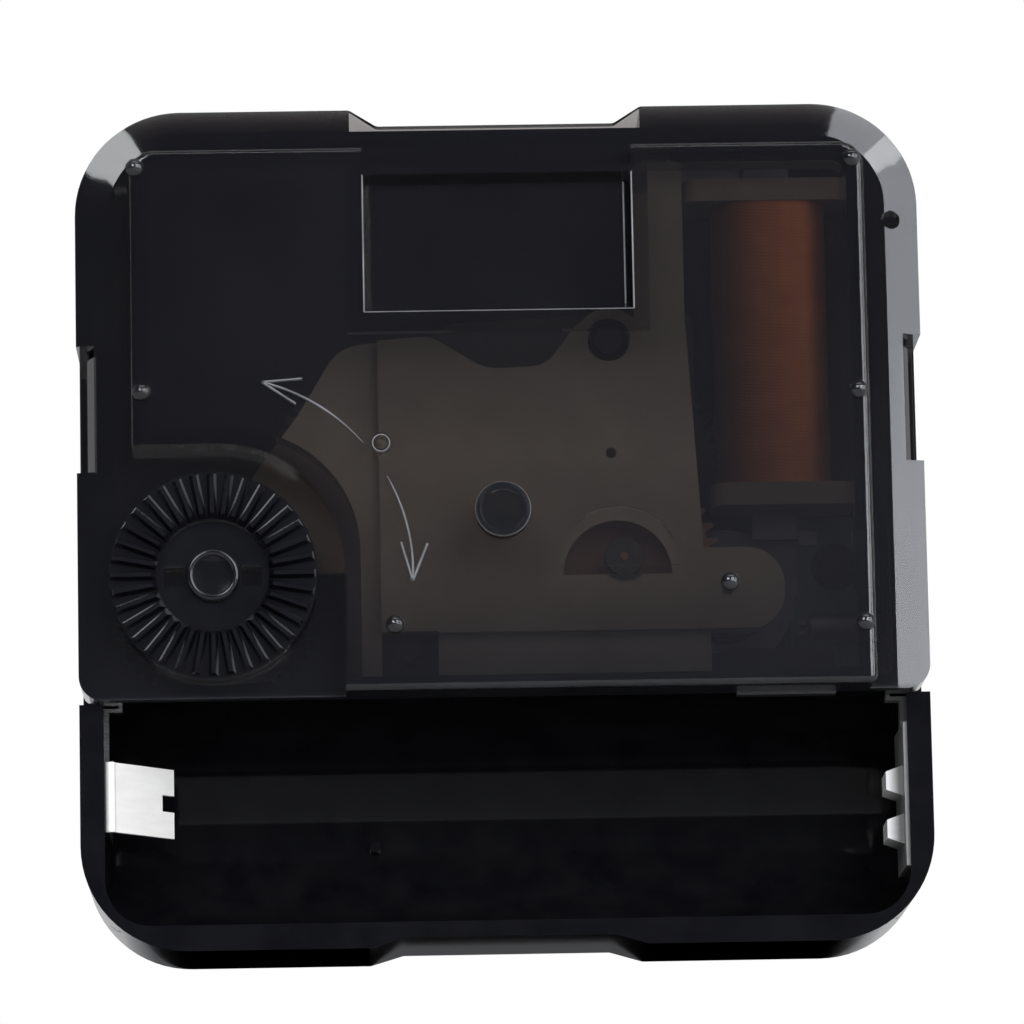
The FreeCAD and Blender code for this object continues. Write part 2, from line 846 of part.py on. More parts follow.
def make_rear_cover():
    """The smoked cover: skirt, flange and hollow plateau with its pockets, pips and boss."""
    skirt_front = shoulder_depth + skirt_clearance
    shell = slab(tray_outline(False), skirt_front, cover_depth).common(
        slab(upper_outline(half_width, case_top, cover_bottom, inner_round, cover_bottom_radius),
             skirt_front, cover_depth))
    shell = shell.common(bevelled_space())
    hollow = slab(upper_outline(skirt_inner, skirt_inner_top, cover_bottom - over,
                                case_corner_radius - skirt_wall), skirt_front - over, rim_depth)
    shell = shell.cut(hollow)
    head = block(-head_notch_half - head_notch_run, head_notch_half + head_notch_run,
                 case_top - head_notch_depth - skirt_wall, case_top + over, skirt_front - over, rim_depth)
    shell = shell.cut(head)
    body = shell.fuse(plateau_block(0, rim_depth, plateau_depth))
    body = body.cut(plateau_block(plateau_wall, rim_depth - over, plateau_depth - plateau_wall))
    well_floor = plateau_depth - pocket_sink - plateau_wall
    lining = block(-pocket_half - plateau_wall, pocket_half + plateau_wall, pocket_low - plateau_wall,
                   pocket_high - plateau_wall / 2, well_floor, plateau_depth - plateau_wall / 2)
    body = body.fuse(lining).cut(tapered_pocket(0, plateau_depth, over))
    for side in (-1, 1):
        inner = side * skirt_inner
        outer = side * (half_width + over)
        body = body.cut(block(min(inner, outer), max(inner, outer), window_low, window_high, window_front,
                              plateau_depth))
    body = body.cut(disc(sight_x, sight_z, sight_radius, plateau_depth - sight_sink, plateau_depth + over)
                    .common(block(sight_x - sight_radius, sight_x + sight_radius, sight_z,
                                  sight_z + sight_radius, plateau_depth - sight_sink, plateau_depth + over)))
    pieces = [body]
    for across, along in pip_shares.values():
        pieces.append(pip(plateau_half * across, plateau_top * along))
    pieces.append(pip(rotor_x, rotor_z))
    boss_rear = plateau_depth + centre_boss_height
    boss = disc(0, 0, centre_boss_radius, plateau_depth, boss_rear)
    pieces.append(boss.cut(disc(0, 0, centre_dish_radius, boss_rear - centre_dish_depth, boss_rear + over)))
    pieces.append(disc(motion_x, motion_z, guide_ring_radius, plateau_depth,
                       plateau_depth + guide_ring_height))
    pieces.append(block(latch_left, latch_right, cover_bottom - latch_reach,
                        cover_bottom - latch_reach + latch_height, rim_depth + skirt_clearance, cover_depth))
    body = joined(pieces)
    body = body.cut(disc(motion_x, motion_z, guide_ring_bore, plateau_depth - plateau_wall / 2,
                         plateau_depth + over))
    for across, along in vent_shares.values():
        x = half_width * across
        z = case_top * along
        body = body.cut(disc(x, z, vent_radius, cover_depth - vent_depth, cover_depth + over))
    return body.cut(disc(knob_x, knob_z, setting_shaft_radius + running_clearance, rim_depth - over,
                         cover_depth + over))


def make_threaded_neck():
    """The brass bush that passes through the dial. Its thread is left to the finish."""
    chamfer_front = -neck_length + neck_chamfer
    pieces = [
        disc(0, 0, neck_radius, chamfer_front, floor_thickness),
        cone(0, 0, neck_radius - neck_chamfer, neck_radius, -neck_length, chamfer_front),
        disc(0, 0, neck_seat_radius, 0, floor_thickness),
        disc(0, 0, neck_flange_radius, floor_thickness - neck_flange_thickness, floor_thickness),
    ]
    bore = hour_pipe_radius + running_clearance
    return joined(pieces).cut(disc(0, 0, bore, -neck_length - over, floor_thickness + over))


def make_hour_wheel():
    """The hour wheel and its slit pipe, stepped down where the hour hand sits."""
    wheel = toothed(0, 0, hour_teeth, hour_module, hour_phase, hour_front, hour_front + wheel_thickness)
    seat_start = -neck_length - layer_gap
    pipe = disc(0, 0, hour_pipe_radius, seat_start, hour_front)
    seat = disc(0, 0, hour_seat_radius, -hour_end, seat_start)
    body = joined([wheel, pipe, seat])
    bore = minute_pipe_radius + running_clearance
    body = body.cut(disc(0, 0, bore, -hour_end - over, hour_front + wheel_thickness + over))
    slit = block(-hour_pipe_radius - over, 0, -hour_slit_width / 2, hour_slit_width / 2, -hour_end - over,
                 -hour_end + hour_slit_length)
    return body.cut(slit)


def make_motion_wheel():
    """The wheel that takes the minute pipe's turn down to the hour wheel."""
    rear = motion_front + wheel_thickness
    wheel = toothed(motion_x, motion_z, motion_teeth, motion_module, motion_phase, motion_front, rear)
    leaves = toothed(motion_x, motion_z, motion_pinion_teeth, hour_module, motion_pinion_phase,
                     hour_front - pinion_overlap, motion_front, True)
    arbor = disc(motion_x, motion_z, motion_pivot_radius, floor_thickness - pivot_depth + layer_gap,
                 middle_plate_rear)
    return joined([wheel, leaves, arbor])


def make_minute_pipe():
    """The minute pipe with its cannon leaves, stepped down where the minute hand sits."""
    rear = motion_front + wheel_thickness + pinion_overlap
    leaf_front = motion_front - pinion_overlap
    leaves = toothed(0, 0, cannon_teeth, motion_module, cannon_phase, leaf_front, rear, True)
    seat_start = -hour_end - layer_gap
    pipe = disc(0, 0, minute_pipe_radius, seat_start, leaf_front)
    seat = disc(0, 0, minute_seat_radius, -minute_end, seat_start)
    washer_front = centre_front + wheel_thickness + running_clearance
    hub = disc(0, 0, minute_hub_radius, rear, washer_front + slip_washer_thickness)
    body = joined([leaves, pipe, seat, hub])
    bore = seconds_journal_radius + running_clearance
    return body.cut(disc(0, 0, bore, -minute_end - over, third_front))


def make_centre_wheel():
    """The driven wheel that slips on the minute pipe when the hands are set."""
    rear = centre_front + wheel_thickness
    wheel = toothed(0, 0, centre_teeth, centre_module, centre_phase, centre_front, rear)
    return wheel.cut(disc(0, 0, minute_hub_radius + running_clearance, centre_front - over, rear + over))


def make_slip_washer():
    """The spring washer behind the centre wheel, held on the hub of the minute pipe."""
    front = centre_front + wheel_thickness + running_clearance
    return tube(0, 0, slip_washer_radius, minute_hub_radius, front, front + slip_washer_thickness)


def make_third_wheel():
    """The third wheel, moulded with its leaves and its long arbor."""
    wheel = toothed(third_x, third_z, third_teeth, third_module, third_phase, third_front, third_rear)
    leaves = toothed(third_x, third_z, third_pinion_teeth, centre_module, third_pinion_phase,
                     centre_front - pinion_overlap, third_front, True)
    arbor = disc(third_x, third_z, pivot_radius, floor_thickness - pivot_depth + layer_gap, platform_rear)
    return joined([wheel, leaves, arbor])


def make_seconds_wheel():
    """The seconds wheel, moulded with its leaves and a hub between them."""
    rear = seconds_front + wheel_thickness
    wheel = toothed(0, 0, seconds_teeth, seconds_module, seconds_phase, seconds_front, rear)
    leaf_front = third_front - pinion_overlap
    leaf_rear = third_rear + pinion_overlap
    leaves = toothed(0, 0, seconds_pinion_teeth, third_module, seconds_pinion_phase, leaf_front, leaf_rear,
                     True)
    hub = disc(0, 0, seconds_hub_radius, leaf_rear, rear)
    body = joined([wheel, leaves, hub])
    return body.cut(disc(0, 0, seconds_arbor_radius, leaf_front - over, rear + over))


def make_seconds_arbor():
    """The steel arbor of the seconds wheel: a seat for the hand, a thicker journal and a thin rear end."""
    seat_start = -minute_end - layer_gap
    shoulder = third_front - pinion_overlap - layer_gap
    seat = disc(0, 0, seconds_seat_radius, -seconds_end, seat_start)
    journal = disc(0, 0, seconds_journal_radius, seat_start, shoulder)
    return joined([seat, journal, disc(0, 0, seconds_arbor_radius, shoulder, platform_rear)])


def make_fifth_wheel():
    """The wheel between the rotor and the seconds wheel."""
    rear = fifth_front + wheel_thickness
    wheel = toothed(fifth_x, fifth_z, fifth_teeth, fifth_module, fifth_phase, fifth_front, rear)
    leaves = toothed(fifth_x, fifth_z, fifth_pinion_teeth, seconds_module, fifth_pinion_phase,
                     seconds_front - layer_gap, fifth_front, True)
    arbor = disc(fifth_x, fifth_z, pivot_radius, middle_plate_front, platform_rear)
    return joined([wheel, leaves, arbor])


def make_rotor_pinion():
    """The rotor's plastic hub, leaves and pivots."""
    leaves = toothed(rotor_x, rotor_z, rotor_teeth, fifth_module, rotor_phase, fifth_front - layer_gap,
                     fifth_front + wheel_thickness + layer_gap, True)
    hub = disc(rotor_x, rotor_z, rotor_hub_radius, magnet_front, fifth_front - layer_gap)
    pivot = disc(rotor_x, rotor_z, pivot_radius, magnet_front - pivot_depth, bridge_rear)
    return joined([leaves, hub, pivot])


def make_rotor_magnet():
    """The ring magnet of the rotor."""
    return tube(rotor_x, rotor_z, magnet_radius, rotor_hub_radius, magnet_front, magnet_front + magnet_length)


def drawn(table):
    """Outline corners from a table of shares of the train's reach."""
    return [(x * train_reach, z * train_reach, radius * train_reach) for x, z, radius in table]


def bridge_face(depth):
    """The outline of the bridge, with its arm over the leg of the yoke."""
    left = yoke_leg_left - bridge_arm_left
    right = yoke_leg_right + bridge_arm_right
    high = yoke_top - bridge_arm_margin
    arm = Part.Face(rounded_wire([(left, third_z, 0), (left, high, bridge_arm_round),
                                  (right, high, bridge_arm_round), (right, third_z, 0)], depth))
    return Part.Face(rounded_wire(drawn(bridge_shares), depth)).fuse(arm).removeSplitter().Faces[0]


def make_middle_plate():
    """The plate between the lower and the upper train, with its staked post, its pin and the yoke's rests."""
    body = slab(drawn(plate_shares), middle_plate_front, middle_plate_rear)
    body = body.cut(disc(rotor_x, rotor_z, rotor_hole + seat_clearance,
                         middle_plate_front - over, middle_plate_rear + over))
    pieces = [body]
    pieces.append(disc(staked_post_x, staked_post_z, staked_post_radius, middle_plate_rear, bridge_rear))
    head_rear = bridge_rear + staked_head_height
    pieces.append(cone(staked_post_x, staked_post_z, staked_head_radius, staked_post_radius, bridge_rear,
                       head_rear))
    pieces.append(disc(pin_x, pin_z, pin_radius, middle_plate_rear, bridge_rear))
    for z in (staked_post_z, third_z):
        pieces.append(pillar(arm_post_x, z, case_post_half, middle_plate_rear, yoke_front))
    body = joined(pieces)
    for x, z, radius in ((0, 0, seconds_hub_radius), (motion_x, motion_z, motion_pivot_radius),
                         (third_x, third_z, pivot_radius), (fifth_x, fifth_z, pivot_radius)):
        body = body.cut(disc(x, z, radius + running_clearance, middle_plate_front - over,
                             middle_plate_rear + over))
    return body


def platform(inset, front, rear):
    """The high part of the bridge, clear of the knob recess. An inset gives the hollow under it."""
    outline = bridge_face(front)
    if inset:
        outline = outline.makeOffset2D(-inset)
    mass = outline.extrude(V(0, front - rear, 0))
    mass = mass.common(block(platform_left + inset, half_width, platform_low + inset, case_top, front, rear))
    recess_reach = recess_radius + plateau_wall + platform_recess_clearance + inset
    return mass.cut(disc(knob_x, knob_z, recess_reach, front - over, rear + over))


def make_train_bridge():
    """The ivory bridge: a flat plate on legs, with a hollow raised platform, bearings and a sight hole."""
    body = bridge_face(bridge_front).extrude(V(0, bridge_front - bridge_rear, 0))
    body = body.fuse(platform(0, bridge_rear, platform_rear))
    body = body.cut(platform(platform_wall, bridge_front - over, platform_rear - platform_wall))
    pieces = [body]
    for x, z in (third, fifth):
        pieces.append(disc(x, z, bridge_boss_radius, bridge_front, platform_rear))
    pieces.append(disc(staked_post_x, staked_post_z, staked_head_radius + platform_wall, bridge_front,
                       platform_rear))
    for shares in bridge_leg_shares.values():
        x, z = spot(shares)
        pieces.append(pillar(x, z, bridge_leg_radius, middle_plate_rear, bridge_front))
    body = joined(pieces)
    sight = disc(sight_x, sight_z, sight_bridge_radius, bridge_front - over, platform_rear + over)
    sight = sight.common(block(sight_x - sight_radius, sight_x + sight_radius, sight_z,
                               sight_z + sight_radius, bridge_front - over, platform_rear + over))
    sight = sight.cut(disc(fifth_x, fifth_z, bridge_boss_radius, bridge_front - over, platform_rear + over))
    body = body.cut(sight)
    body = body.cut(disc(staked_post_x, staked_post_z, staked_post_radius + seat_clearance,
                         bridge_front - over, platform_rear + over))
    body = body.cut(disc(staked_post_x, staked_post_z, staked_head_radius + seat_clearance, bridge_rear,
                         platform_rear + over))
    body = body.cut(block(platform_left, bridge_notch_right, -half_width, platform_low + seat_clearance,
                          bridge_front - over, bridge_rear + over))
    for x, z, radius in ((0, 0, seconds_arbor_radius), (third_x, third_z, pivot_radius),
                         (fifth_x, fifth_z, pivot_radius), (rotor_x, rotor_z, pivot_radius)):
        body = body.cut(disc(x, z, radius + running_clearance, bridge_front - over, platform_rear + over))
    return body


def make_stator_yoke():
    """The soft iron yoke: a ring round the rotor, a leg past the coil and a foot under the coil's core."""
    ring = disc(rotor_x, rotor_z, yoke_ring_outer, yoke_front, yoke_rear)
    flat_z = rotor_z - rotor_hole - yoke_flat
    ring = ring.common(block(rotor_x - yoke_ring_outer, rotor_x + yoke_ring_outer, flat_z,
                             rotor_z + yoke_ring_outer, yoke_front, yoke_rear))
    leg = slab([(yoke_leg_left + yoke_neck_shift, rotor_z + yoke_ring, 0),
                (yoke_leg_right + yoke_neck_shift, rotor_z + rotor_hole, 0),
                (yoke_leg_right, yoke_neck_top, 0), (yoke_leg_right, yoke_top, 0),
                (yoke_leg_left, yoke_top, 0), (yoke_leg_left, yoke_neck_top, 0)], yoke_front, yoke_rear)
    bar = block(yoke_leg_left, coil_x + core_half, yoke_top - yoke_bar, yoke_top, yoke_front, yoke_rear)
    foot = block(coil_x - core_half, coil_x + core_half, rotor_z, coil_low - core_clearance, yoke_front,
                 yoke_rear)
    body = joined([ring, leg, bar, foot])
    body = body.cut(disc(rotor_x, rotor_z, rotor_hole, yoke_front - over, yoke_rear + over))
    notch_reach = rotor_hole / math.sqrt(2)
    for side in (-1, 1):
        body = body.cut(disc(rotor_x + side * notch_reach, rotor_z + side * notch_reach, rotor_notch_radius,
                             yoke_front - over, yoke_rear + over))
    body = body.cut(disc(fifth_x, fifth_z, fifth_leaf_tip + seat_clearance, yoke_front - over,
                         yoke_rear + over))
    leg_x, leg_z = spot(bridge_leg_shares["low_right"])
    body = body.cut(pillar(leg_x, leg_z, bridge_leg_radius + seat_clearance, yoke_front - over,
                           yoke_rear + over))
    return body.cut(disc(arm_post_x, arm_post_z, bridge_leg_radius + seat_clearance, yoke_front - over,
                         yoke_rear + over))


def make_coil_core():
    """The iron strip through the coil, lying on both ends of the yoke."""
    return block(coil_x - core_half, coil_x + core_half, coil_low - 2 * case_post_half, yoke_top,
                 yoke_rear, core_rear)


def coil_section(left, right, thickness, radius, low, high):
    """A rounded bar along Z, centred in depth on the core."""
    front = core_middle - thickness / 2
    bar = block(left, right, low, high, front, front + thickness)
    upright = [edge for edge in bar.Edges if edge.BoundBox.ZLength > (high - low) / 2]
    return bar.makeFillet(radius, upright)


def bobbin_tube(low, high):
    """The tube of the bobbin between two heights, without its bore."""
    half = core_half + core_clearance + bobbin_wall
    thickness = core_thickness + 2 * (core_clearance + bobbin_wall)
    return coil_section(coil_x - half, coil_x + half, thickness, bobbin_wall, low, high)


def make_coil_bobbin():
    """The ivory bobbin: a thin tube with a flange at each end."""
    low_flange = coil_section(coil_low_flange_left, coil_flange_right, coil_flange_depth, coil_flange_round,
                              coil_low, winding_low)
    high_flange = coil_section(coil_high_flange_left, coil_flange_right, coil_flange_depth, coil_flange_round,
                               winding_high, coil_high)
    body = joined([bobbin_tube(coil_low, coil_high), low_flange, high_flange])
    return body.cut(block(coil_x - core_half - core_clearance, coil_x + core_half + core_clearance,
                          coil_low - over, coil_high + over, yoke_rear - core_clearance,
                          core_rear + core_clearance))


def make_coil_winding():
    """The copper winding, a smooth oval barrel: its wire is finer than any moulding line."""
    half = winding_width / 2
    outer = coil_section(coil_x - half, coil_x + half, winding_depth, winding_round, winding_low,
                         winding_high)
    return outer.cut(bobbin_tube(winding_low - over, winding_high + over))


def make_circuit_board():
    """The circuit board on its four posts."""
    return slab(rectangle(board_left, board_right, board_low, board_high, board_corner_radius), board_front,
                board_rear)


def make_chip_cover():
    """The black resin drop over the chip."""
    return tapered(ring_of(chip_x, chip_z, chip_radius, chip_sides), board_rear,
                   ring_of(chip_x, chip_z, chip_top_radius, chip_sides), board_rear + chip_height)


def make_quartz_crystal():
    """The can of the quartz crystal with its two wires, lying on the board."""
    depth = board_rear + crystal_radius
    can = Part.makeCylinder(crystal_radius, crystal_length, at(crystal_left, crystal_z, depth), V(1, 0, 0))
    rim = [edge for edge in can.Edges if edge.BoundBox.XLength < crystal_round]
    can = can.makeChamfer(crystal_round, rim)
    pieces = [can]
    for side in (-1, 1):
        z = crystal_z + side * crystal_pin_spread
        pieces.append(block(crystal_left - crystal_pin_length, crystal_left + crystal_pin_length,
                            z - crystal_pin_half, z + crystal_pin_half, depth - crystal_pin_half,
                            depth + crystal_pin_half))
    return joined(pieces)


def make_solder_pads():
    """The two solder joints where the coil's wire ends meet the board."""
    pads = []
    low = board_high - 2 * pad_height
    for x in (board_left + pad_width, board_right - pad_width):
        pads.append(block(x - pad_width / 2, x + pad_width / 2, low, low + pad_height, board_rear,
                          board_rear + pad_thickness))
    return group(pads)


def contact_tail(side):
    """The run of a contact from the end wall of the bay through the slit to above the partition."""
    wall_x = bay_half
    tail_x = inner_half - tail_clearance
    jog_high = bay_wall_z - tail_clearance
    high = bay_top + tail_clearance + strip
    outer = block(min(side * wall_x, side * (wall_x - strip)), max(side * wall_x, side * (wall_x - strip)),
                  jog_high - tail_inset - strip, jog_high, tail_front, tail_rear)
    jog = block(min(side * wall_x, side * (tail_x - strip)), max(side * wall_x, side * (tail_x - strip)),
                jog_high - strip, jog_high, tail_front, tail_rear)
    riser = block(min(side * tail_x, side * (tail_x - strip)), max(side * tail_x, side * (tail_x - strip)),
                  jog_high - strip, high, tail_front, tail_rear)
    return [outer, jog, riser]


def board_tongue(left, right, low):
    """The tongue of a contact that lies on the board."""
    return block(left, right, low, board_low + tongue_width / 2, board_rear, board_rear + strip)


def make_negative_contact():
    """The fixed strip of the negative contact: up the end wall, through the partition and on to the board."""
    wall = block(-bay_half, -bay_half + strip, leaf_low, leaf_high, contact_front,
                 contact_rear - leaf_clearance)
    riser = block(-bay_half, -bay_half + strip, leaf_high, bay_wall_z - tail_clearance, tail_front, tail_rear)
    run_low = bay_top + tail_clearance
    run_right = board_left + 2 * tongue_width
    run = block(-inner_half + tail_clearance, run_right, run_low, run_low + strip, tail_front, tail_rear)
    step = block(run_right - tongue_width, run_right, run_low, run_low + strip, board_rear, tail_rear)
    tongue = board_tongue(run_right - tongue_width, run_right, run_low)
    return joined([wall, riser, run, step, tongue] + contact_tail(-1))


def make_negative_leaf():
    """The sprung leaf of the negative contact, with a slot in its free end."""
    slope = math.hypot(leaf_reach, leaf_drop)
    drop_x = strip * leaf_drop / slope
    drop_depth = strip * leaf_reach / slope
    start_x = -bay_half + strip + leaf_clearance
    start_depth = contact_rear
    end_x = start_x + leaf_reach
    end_depth = start_depth - leaf_drop
    profile = [
        at(start_x, leaf_low, start_depth),
        at(start_x + drop_x, leaf_low, start_depth + drop_depth),
        at(end_x + drop_x, leaf_low, end_depth + drop_depth),
        at(end_x, leaf_low, end_depth),
    ]
    profile.append(profile[0])
    leaf = Part.Face(Part.makePolygon(profile)).extrude(V(0, 0, leaf_high - leaf_low))
    middle = (leaf_high + leaf_low) / 2
    return leaf.cut(block(end_x + drop_x - leaf_slot_length, end_x + over, middle - leaf_slot_width / 2,
                          middle + leaf_slot_width / 2, end_depth - over, start_depth))


def make_positive_contact():
    """The positive contact: a plate on the end wall with two tabs, and a tail to the board."""
    inner = bay_half - strip
    pieces = [block(inner, bay_half, plus_low, plus_high, contact_front, contact_rear)]
    for side in (-1, 1):
        z = bay_axis_z + side * tab_offset
        profile = [
            at(inner, z - tab_half, tab_front),
            at(inner, z + tab_half, tab_front),
            at(inner - tab_reach, z + tab_crest_half, tab_front),
            at(inner - tab_reach, z - tab_crest_half, tab_front),
        ]
        profile.append(profile[0])
        pieces.append(Part.Face(Part.makePolygon(profile)).extrude(V(0, tab_front - tab_rear, 0)))
    pieces.append(block(inner, bay_half, plus_high, bay_wall_z - tail_clearance, tail_front, tail_rear))
    tail_right = inner_half - tail_clearance
    low = bay_top + tail_clearance
    pieces.append(block(tail_right - tongue_width, tail_right, low + strip, low + 2 * strip, board_rear,
                        tail_rear))
    pieces.append(block(tail_right - strip, tail_right, low, low + 2 * strip, tail_front, tail_rear))
    pieces.append(board_tongue(tail_right - tongue_width, tail_right, low + strip))
    return joined(pieces + contact_tail(1))


def knob_rib(turn_deg, face):
    """One radial rib of the knob: sloped sides, a narrow crest and ends that run out in a slope."""
    inner = knob_x + knob_dish_radius
    outer = knob_x + knob_radius - rib_margin
    foot = upright(inner, outer, knob_z - rib_base / 2, knob_z + rib_base / 2)
    shrink = rib_base / 2
    crest = upright(inner + shrink, outer - shrink / 2, knob_z - rib_crest / 2, knob_z + rib_crest / 2)
    rib = tapered(foot, face, crest, face + rib_height)
    rib.rotate(at(knob_x, knob_z, 0), V(0, 1, 0), turn_deg)
    return rib


def make_setting_knob():
    """The ribbed thumb knob and the shaft moulded with it."""
    front = cover_depth + knob_gap
    face = front + knob_disc
    body = disc(knob_x, knob_z, knob_radius, front, face)
    body = body.multiFuse([knob_rib(360 * i / rib_count, face) for i in range(rib_count)])
    dish = face - knob_dish_sink
    body = body.cut(disc(knob_x, knob_z, knob_dish_radius, dish, face + rib_height + over))
    hub_rear = dish + knob_hub_height
    body = body.fuse(disc(knob_x, knob_z, knob_hub_radius, dish, hub_rear))
    body = body.cut(disc(knob_x, knob_z, knob_cup_radius, hub_rear - knob_cup_depth, hub_rear + over))
    body = body.fuse(cone(knob_x, knob_z, knob_pip_radius, knob_pip_radius / 2, hub_rear - knob_cup_depth,
                          dish))
    for side in (-1, 1):
        x = knob_x + side * knob_slot_offset
        body = body.cut(block(x - knob_slot_width / 2, x + knob_slot_width / 2,
                              knob_z - knob_slot_height / 2, knob_z + knob_slot_height / 2,
                              front - over, face + over))
    shaft_end = motion_front - layer_gap
    body = body.fuse(disc(knob_x, knob_z, setting_shaft_radius, shaft_end, front))
    body = body.fuse(disc(knob_x, knob_z, setting_pivot_radius, floor_thickness - pivot_depth + layer_gap,
                          shaft_end))
    return body.removeSplitter()


def make_setting_gear():
    """The gear on the knob's shaft."""
    rear = motion_front + setting_thickness
    wheel = toothed(knob_x, knob_z, setting_teeth, motion_module, setting_phase, motion_front, rear)
    return wheel.cut(disc(knob_x, knob_z, setting_shaft_radius, motion_front - over, rear + over))


save("front_case", make_front_case())
save("rear_cover", make_rear_cover())
save("threaded_neck", make_threaded_neck())
save("middle_plate", make_middle_plate())
save("train_bridge", make_train_bridge())
save("hour_wheel", make_hour_wheel())
save("motion_wheel", make_motion_wheel())
save("minute_pipe", make_minute_pipe())
save("centre_wheel", make_centre_wheel())
save("slip_washer", make_slip_washer())
save("third_wheel", make_third_wheel())
save("seconds_wheel", make_seconds_wheel())
save("seconds_arbor", make_seconds_arbor())
save("fifth_wheel", make_fifth_wheel())
save("rotor_pinion", make_rotor_pinion())
save("rotor_magnet", make_rotor_magnet())
save("stator_yoke", make_stator_yoke())
save("coil_core", make_coil_core())
save("coil_bobbin", make_coil_bobbin())
save("coil_winding", make_coil_winding())
save("circuit_board", make_circuit_board())
save("chip_cover", make_chip_cover())
save("quartz_crystal", make_quartz_crystal())
save("solder_pads", make_solder_pads())
save("negative_contact", make_negative_contact())
save("negative_leaf", make_negative_leaf())
save("positive_contact", make_positive_contact())
save("setting_knob", make_setting_knob())
save("setting_gear", make_setting_gear())
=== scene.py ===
import math

import bmesh
import bpy
from mathutils import Matrix, Vector


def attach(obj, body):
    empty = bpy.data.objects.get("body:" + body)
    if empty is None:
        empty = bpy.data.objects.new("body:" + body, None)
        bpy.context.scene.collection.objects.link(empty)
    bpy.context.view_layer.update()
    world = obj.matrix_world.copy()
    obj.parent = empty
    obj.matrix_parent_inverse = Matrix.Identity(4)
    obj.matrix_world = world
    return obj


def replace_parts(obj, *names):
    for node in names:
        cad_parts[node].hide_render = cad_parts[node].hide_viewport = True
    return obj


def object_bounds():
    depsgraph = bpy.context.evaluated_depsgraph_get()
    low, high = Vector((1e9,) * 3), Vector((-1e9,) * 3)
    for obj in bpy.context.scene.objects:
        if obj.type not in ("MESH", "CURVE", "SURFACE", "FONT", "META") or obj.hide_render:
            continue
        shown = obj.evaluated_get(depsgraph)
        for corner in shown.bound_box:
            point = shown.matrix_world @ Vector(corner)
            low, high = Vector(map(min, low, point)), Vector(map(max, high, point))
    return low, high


# The looks of a quartz clock movement, seen from behind and a little from below.
# Metres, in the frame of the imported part: X right, Z up, and the rear faces -Y.

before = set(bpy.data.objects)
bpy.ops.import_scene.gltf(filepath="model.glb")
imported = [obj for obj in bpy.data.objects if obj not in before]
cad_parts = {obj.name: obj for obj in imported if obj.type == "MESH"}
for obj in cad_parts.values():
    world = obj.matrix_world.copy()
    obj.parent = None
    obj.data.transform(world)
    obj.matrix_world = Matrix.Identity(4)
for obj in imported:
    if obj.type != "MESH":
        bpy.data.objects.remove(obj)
cad_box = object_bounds()
MM = 0.001

# Camera, fitted to the photograph
CAMERA_DISTANCE = 446.87 * MM
CAMERA_ELEVATION = math.radians(-9.878)
CAMERA_AZIMUTH = math.radians(-1.371)
CAMERA_ROLL = math.radians(-1.122)
CAMERA_TARGET = Vector((0.756, -8.0, 1.048)) * MM
SENSOR = 36.0
FOCAL_SHARE = 6710.2 / 1024
CLIP_START = 0.01
CLIP_END = 20

# Floor and studio, in metres and shares
FLOOR_REACH = 2.5
SKY_COLOUR = (0.11, 0.115, 0.135, 1)
BACKDROP_SPREAD = 0.35
BACKDROP_STRENGTH = 0.5

# Edges that turn more than this, in radians, stay sharp on the pieces made here
SHARP_ANGLE = 0.7

# The lengths and places below are in millimetres, and depths run rearwards from the dial seat.
PLATEAU_DEPTH = 15.0
SUNK = 0.02
KNOB_X = -19.07
KNOB_Z = -3.91

# Turning arrows
ARROW_RADIUS = 13.1
ARROW_WIDTH = 0.19
ARROW_HEIGHT = 0.16
ARROW_HEAD_HALF = 0.87
ARROW_HEAD_LENGTH = 2.5
ARROW_CREST_SHARE = 0.4
ARROW_START_SHARE = 0.35
ARROW_STEPS = 28

# Pips, centre boss and guide ring of the cover
PIPS = ((23.5, 23.3), (23.6, 7.69), (23.6, -7.79), (-23.6, 8.21), (-23.91, 23.3), (-7.19, -7.5),
        (14.8, -5.0))
PIP_RADIUS = 0.62
PIP_HEIGHT = 0.44
BOSS_RADIUS = 1.75
BOSS_RIM = 1.55
BOSS_RIM_HALF = 0.24
BOSS_RIM_DEPTH = 15.3
BOSS_RIM_HEIGHT = 0.2
BOSS_EDGE_RADIUS = 1.77
BOSS_EDGE_DEPTH = 15.41
GUIDE_RING_X = -7.92
GUIDE_RING_Z = 4.49
GUIDE_RING_RADIUS = 0.56
GUIDE_RING_DEPTH = 15.43

# Hanger pocket of the cover
POCKET_HALF = 8.9
POCKET_LOW = 13.35
POCKET_EDGE_TOP = 22.6
POCKET_FLOOR_INSET = 0.5
POCKET_FLOOR_DEPTH = 14.0

# Cup of the setting knob
CUP_RING = 1.5
CUP_RING_HALF = 0.22
CUP_RING_DEPTH = 14.28
CUP_RING_HEIGHT = 0.16
DISH_RADIUS = 1.3
DISH_FLOOR = 13.84
DISH_RISE = 0.07

# Roll at the bend of the negative leaf
LEAF_ROLL_X = -26.0
LEAF_ROLL_DEPTH = 11.0
LEAF_ROLL_RADIUS = 0.34
LEAF_ROLL_ENDS = (-20.35, -15.75)
LEAF_ROLL_SIDES = 16

# Neck and its thread
NECK_BORE = 2.8
NECK_RADIUS = 3.95
NECK_LENGTH = 5.5
NECK_CHAMFER = 0.4
NECK_SEAT_RADIUS = 4.4
NECK_SEAT_DEPTH = 0.6
NECK_FLANGE_RADIUS = 5.3
NECK_FLANGE_DEPTH = 1.2
THREAD_END_DEPTH = -0.5
THREAD_PITCH = 0.75
THREAD_CUT = 0.22
THREAD_STEPS = 6

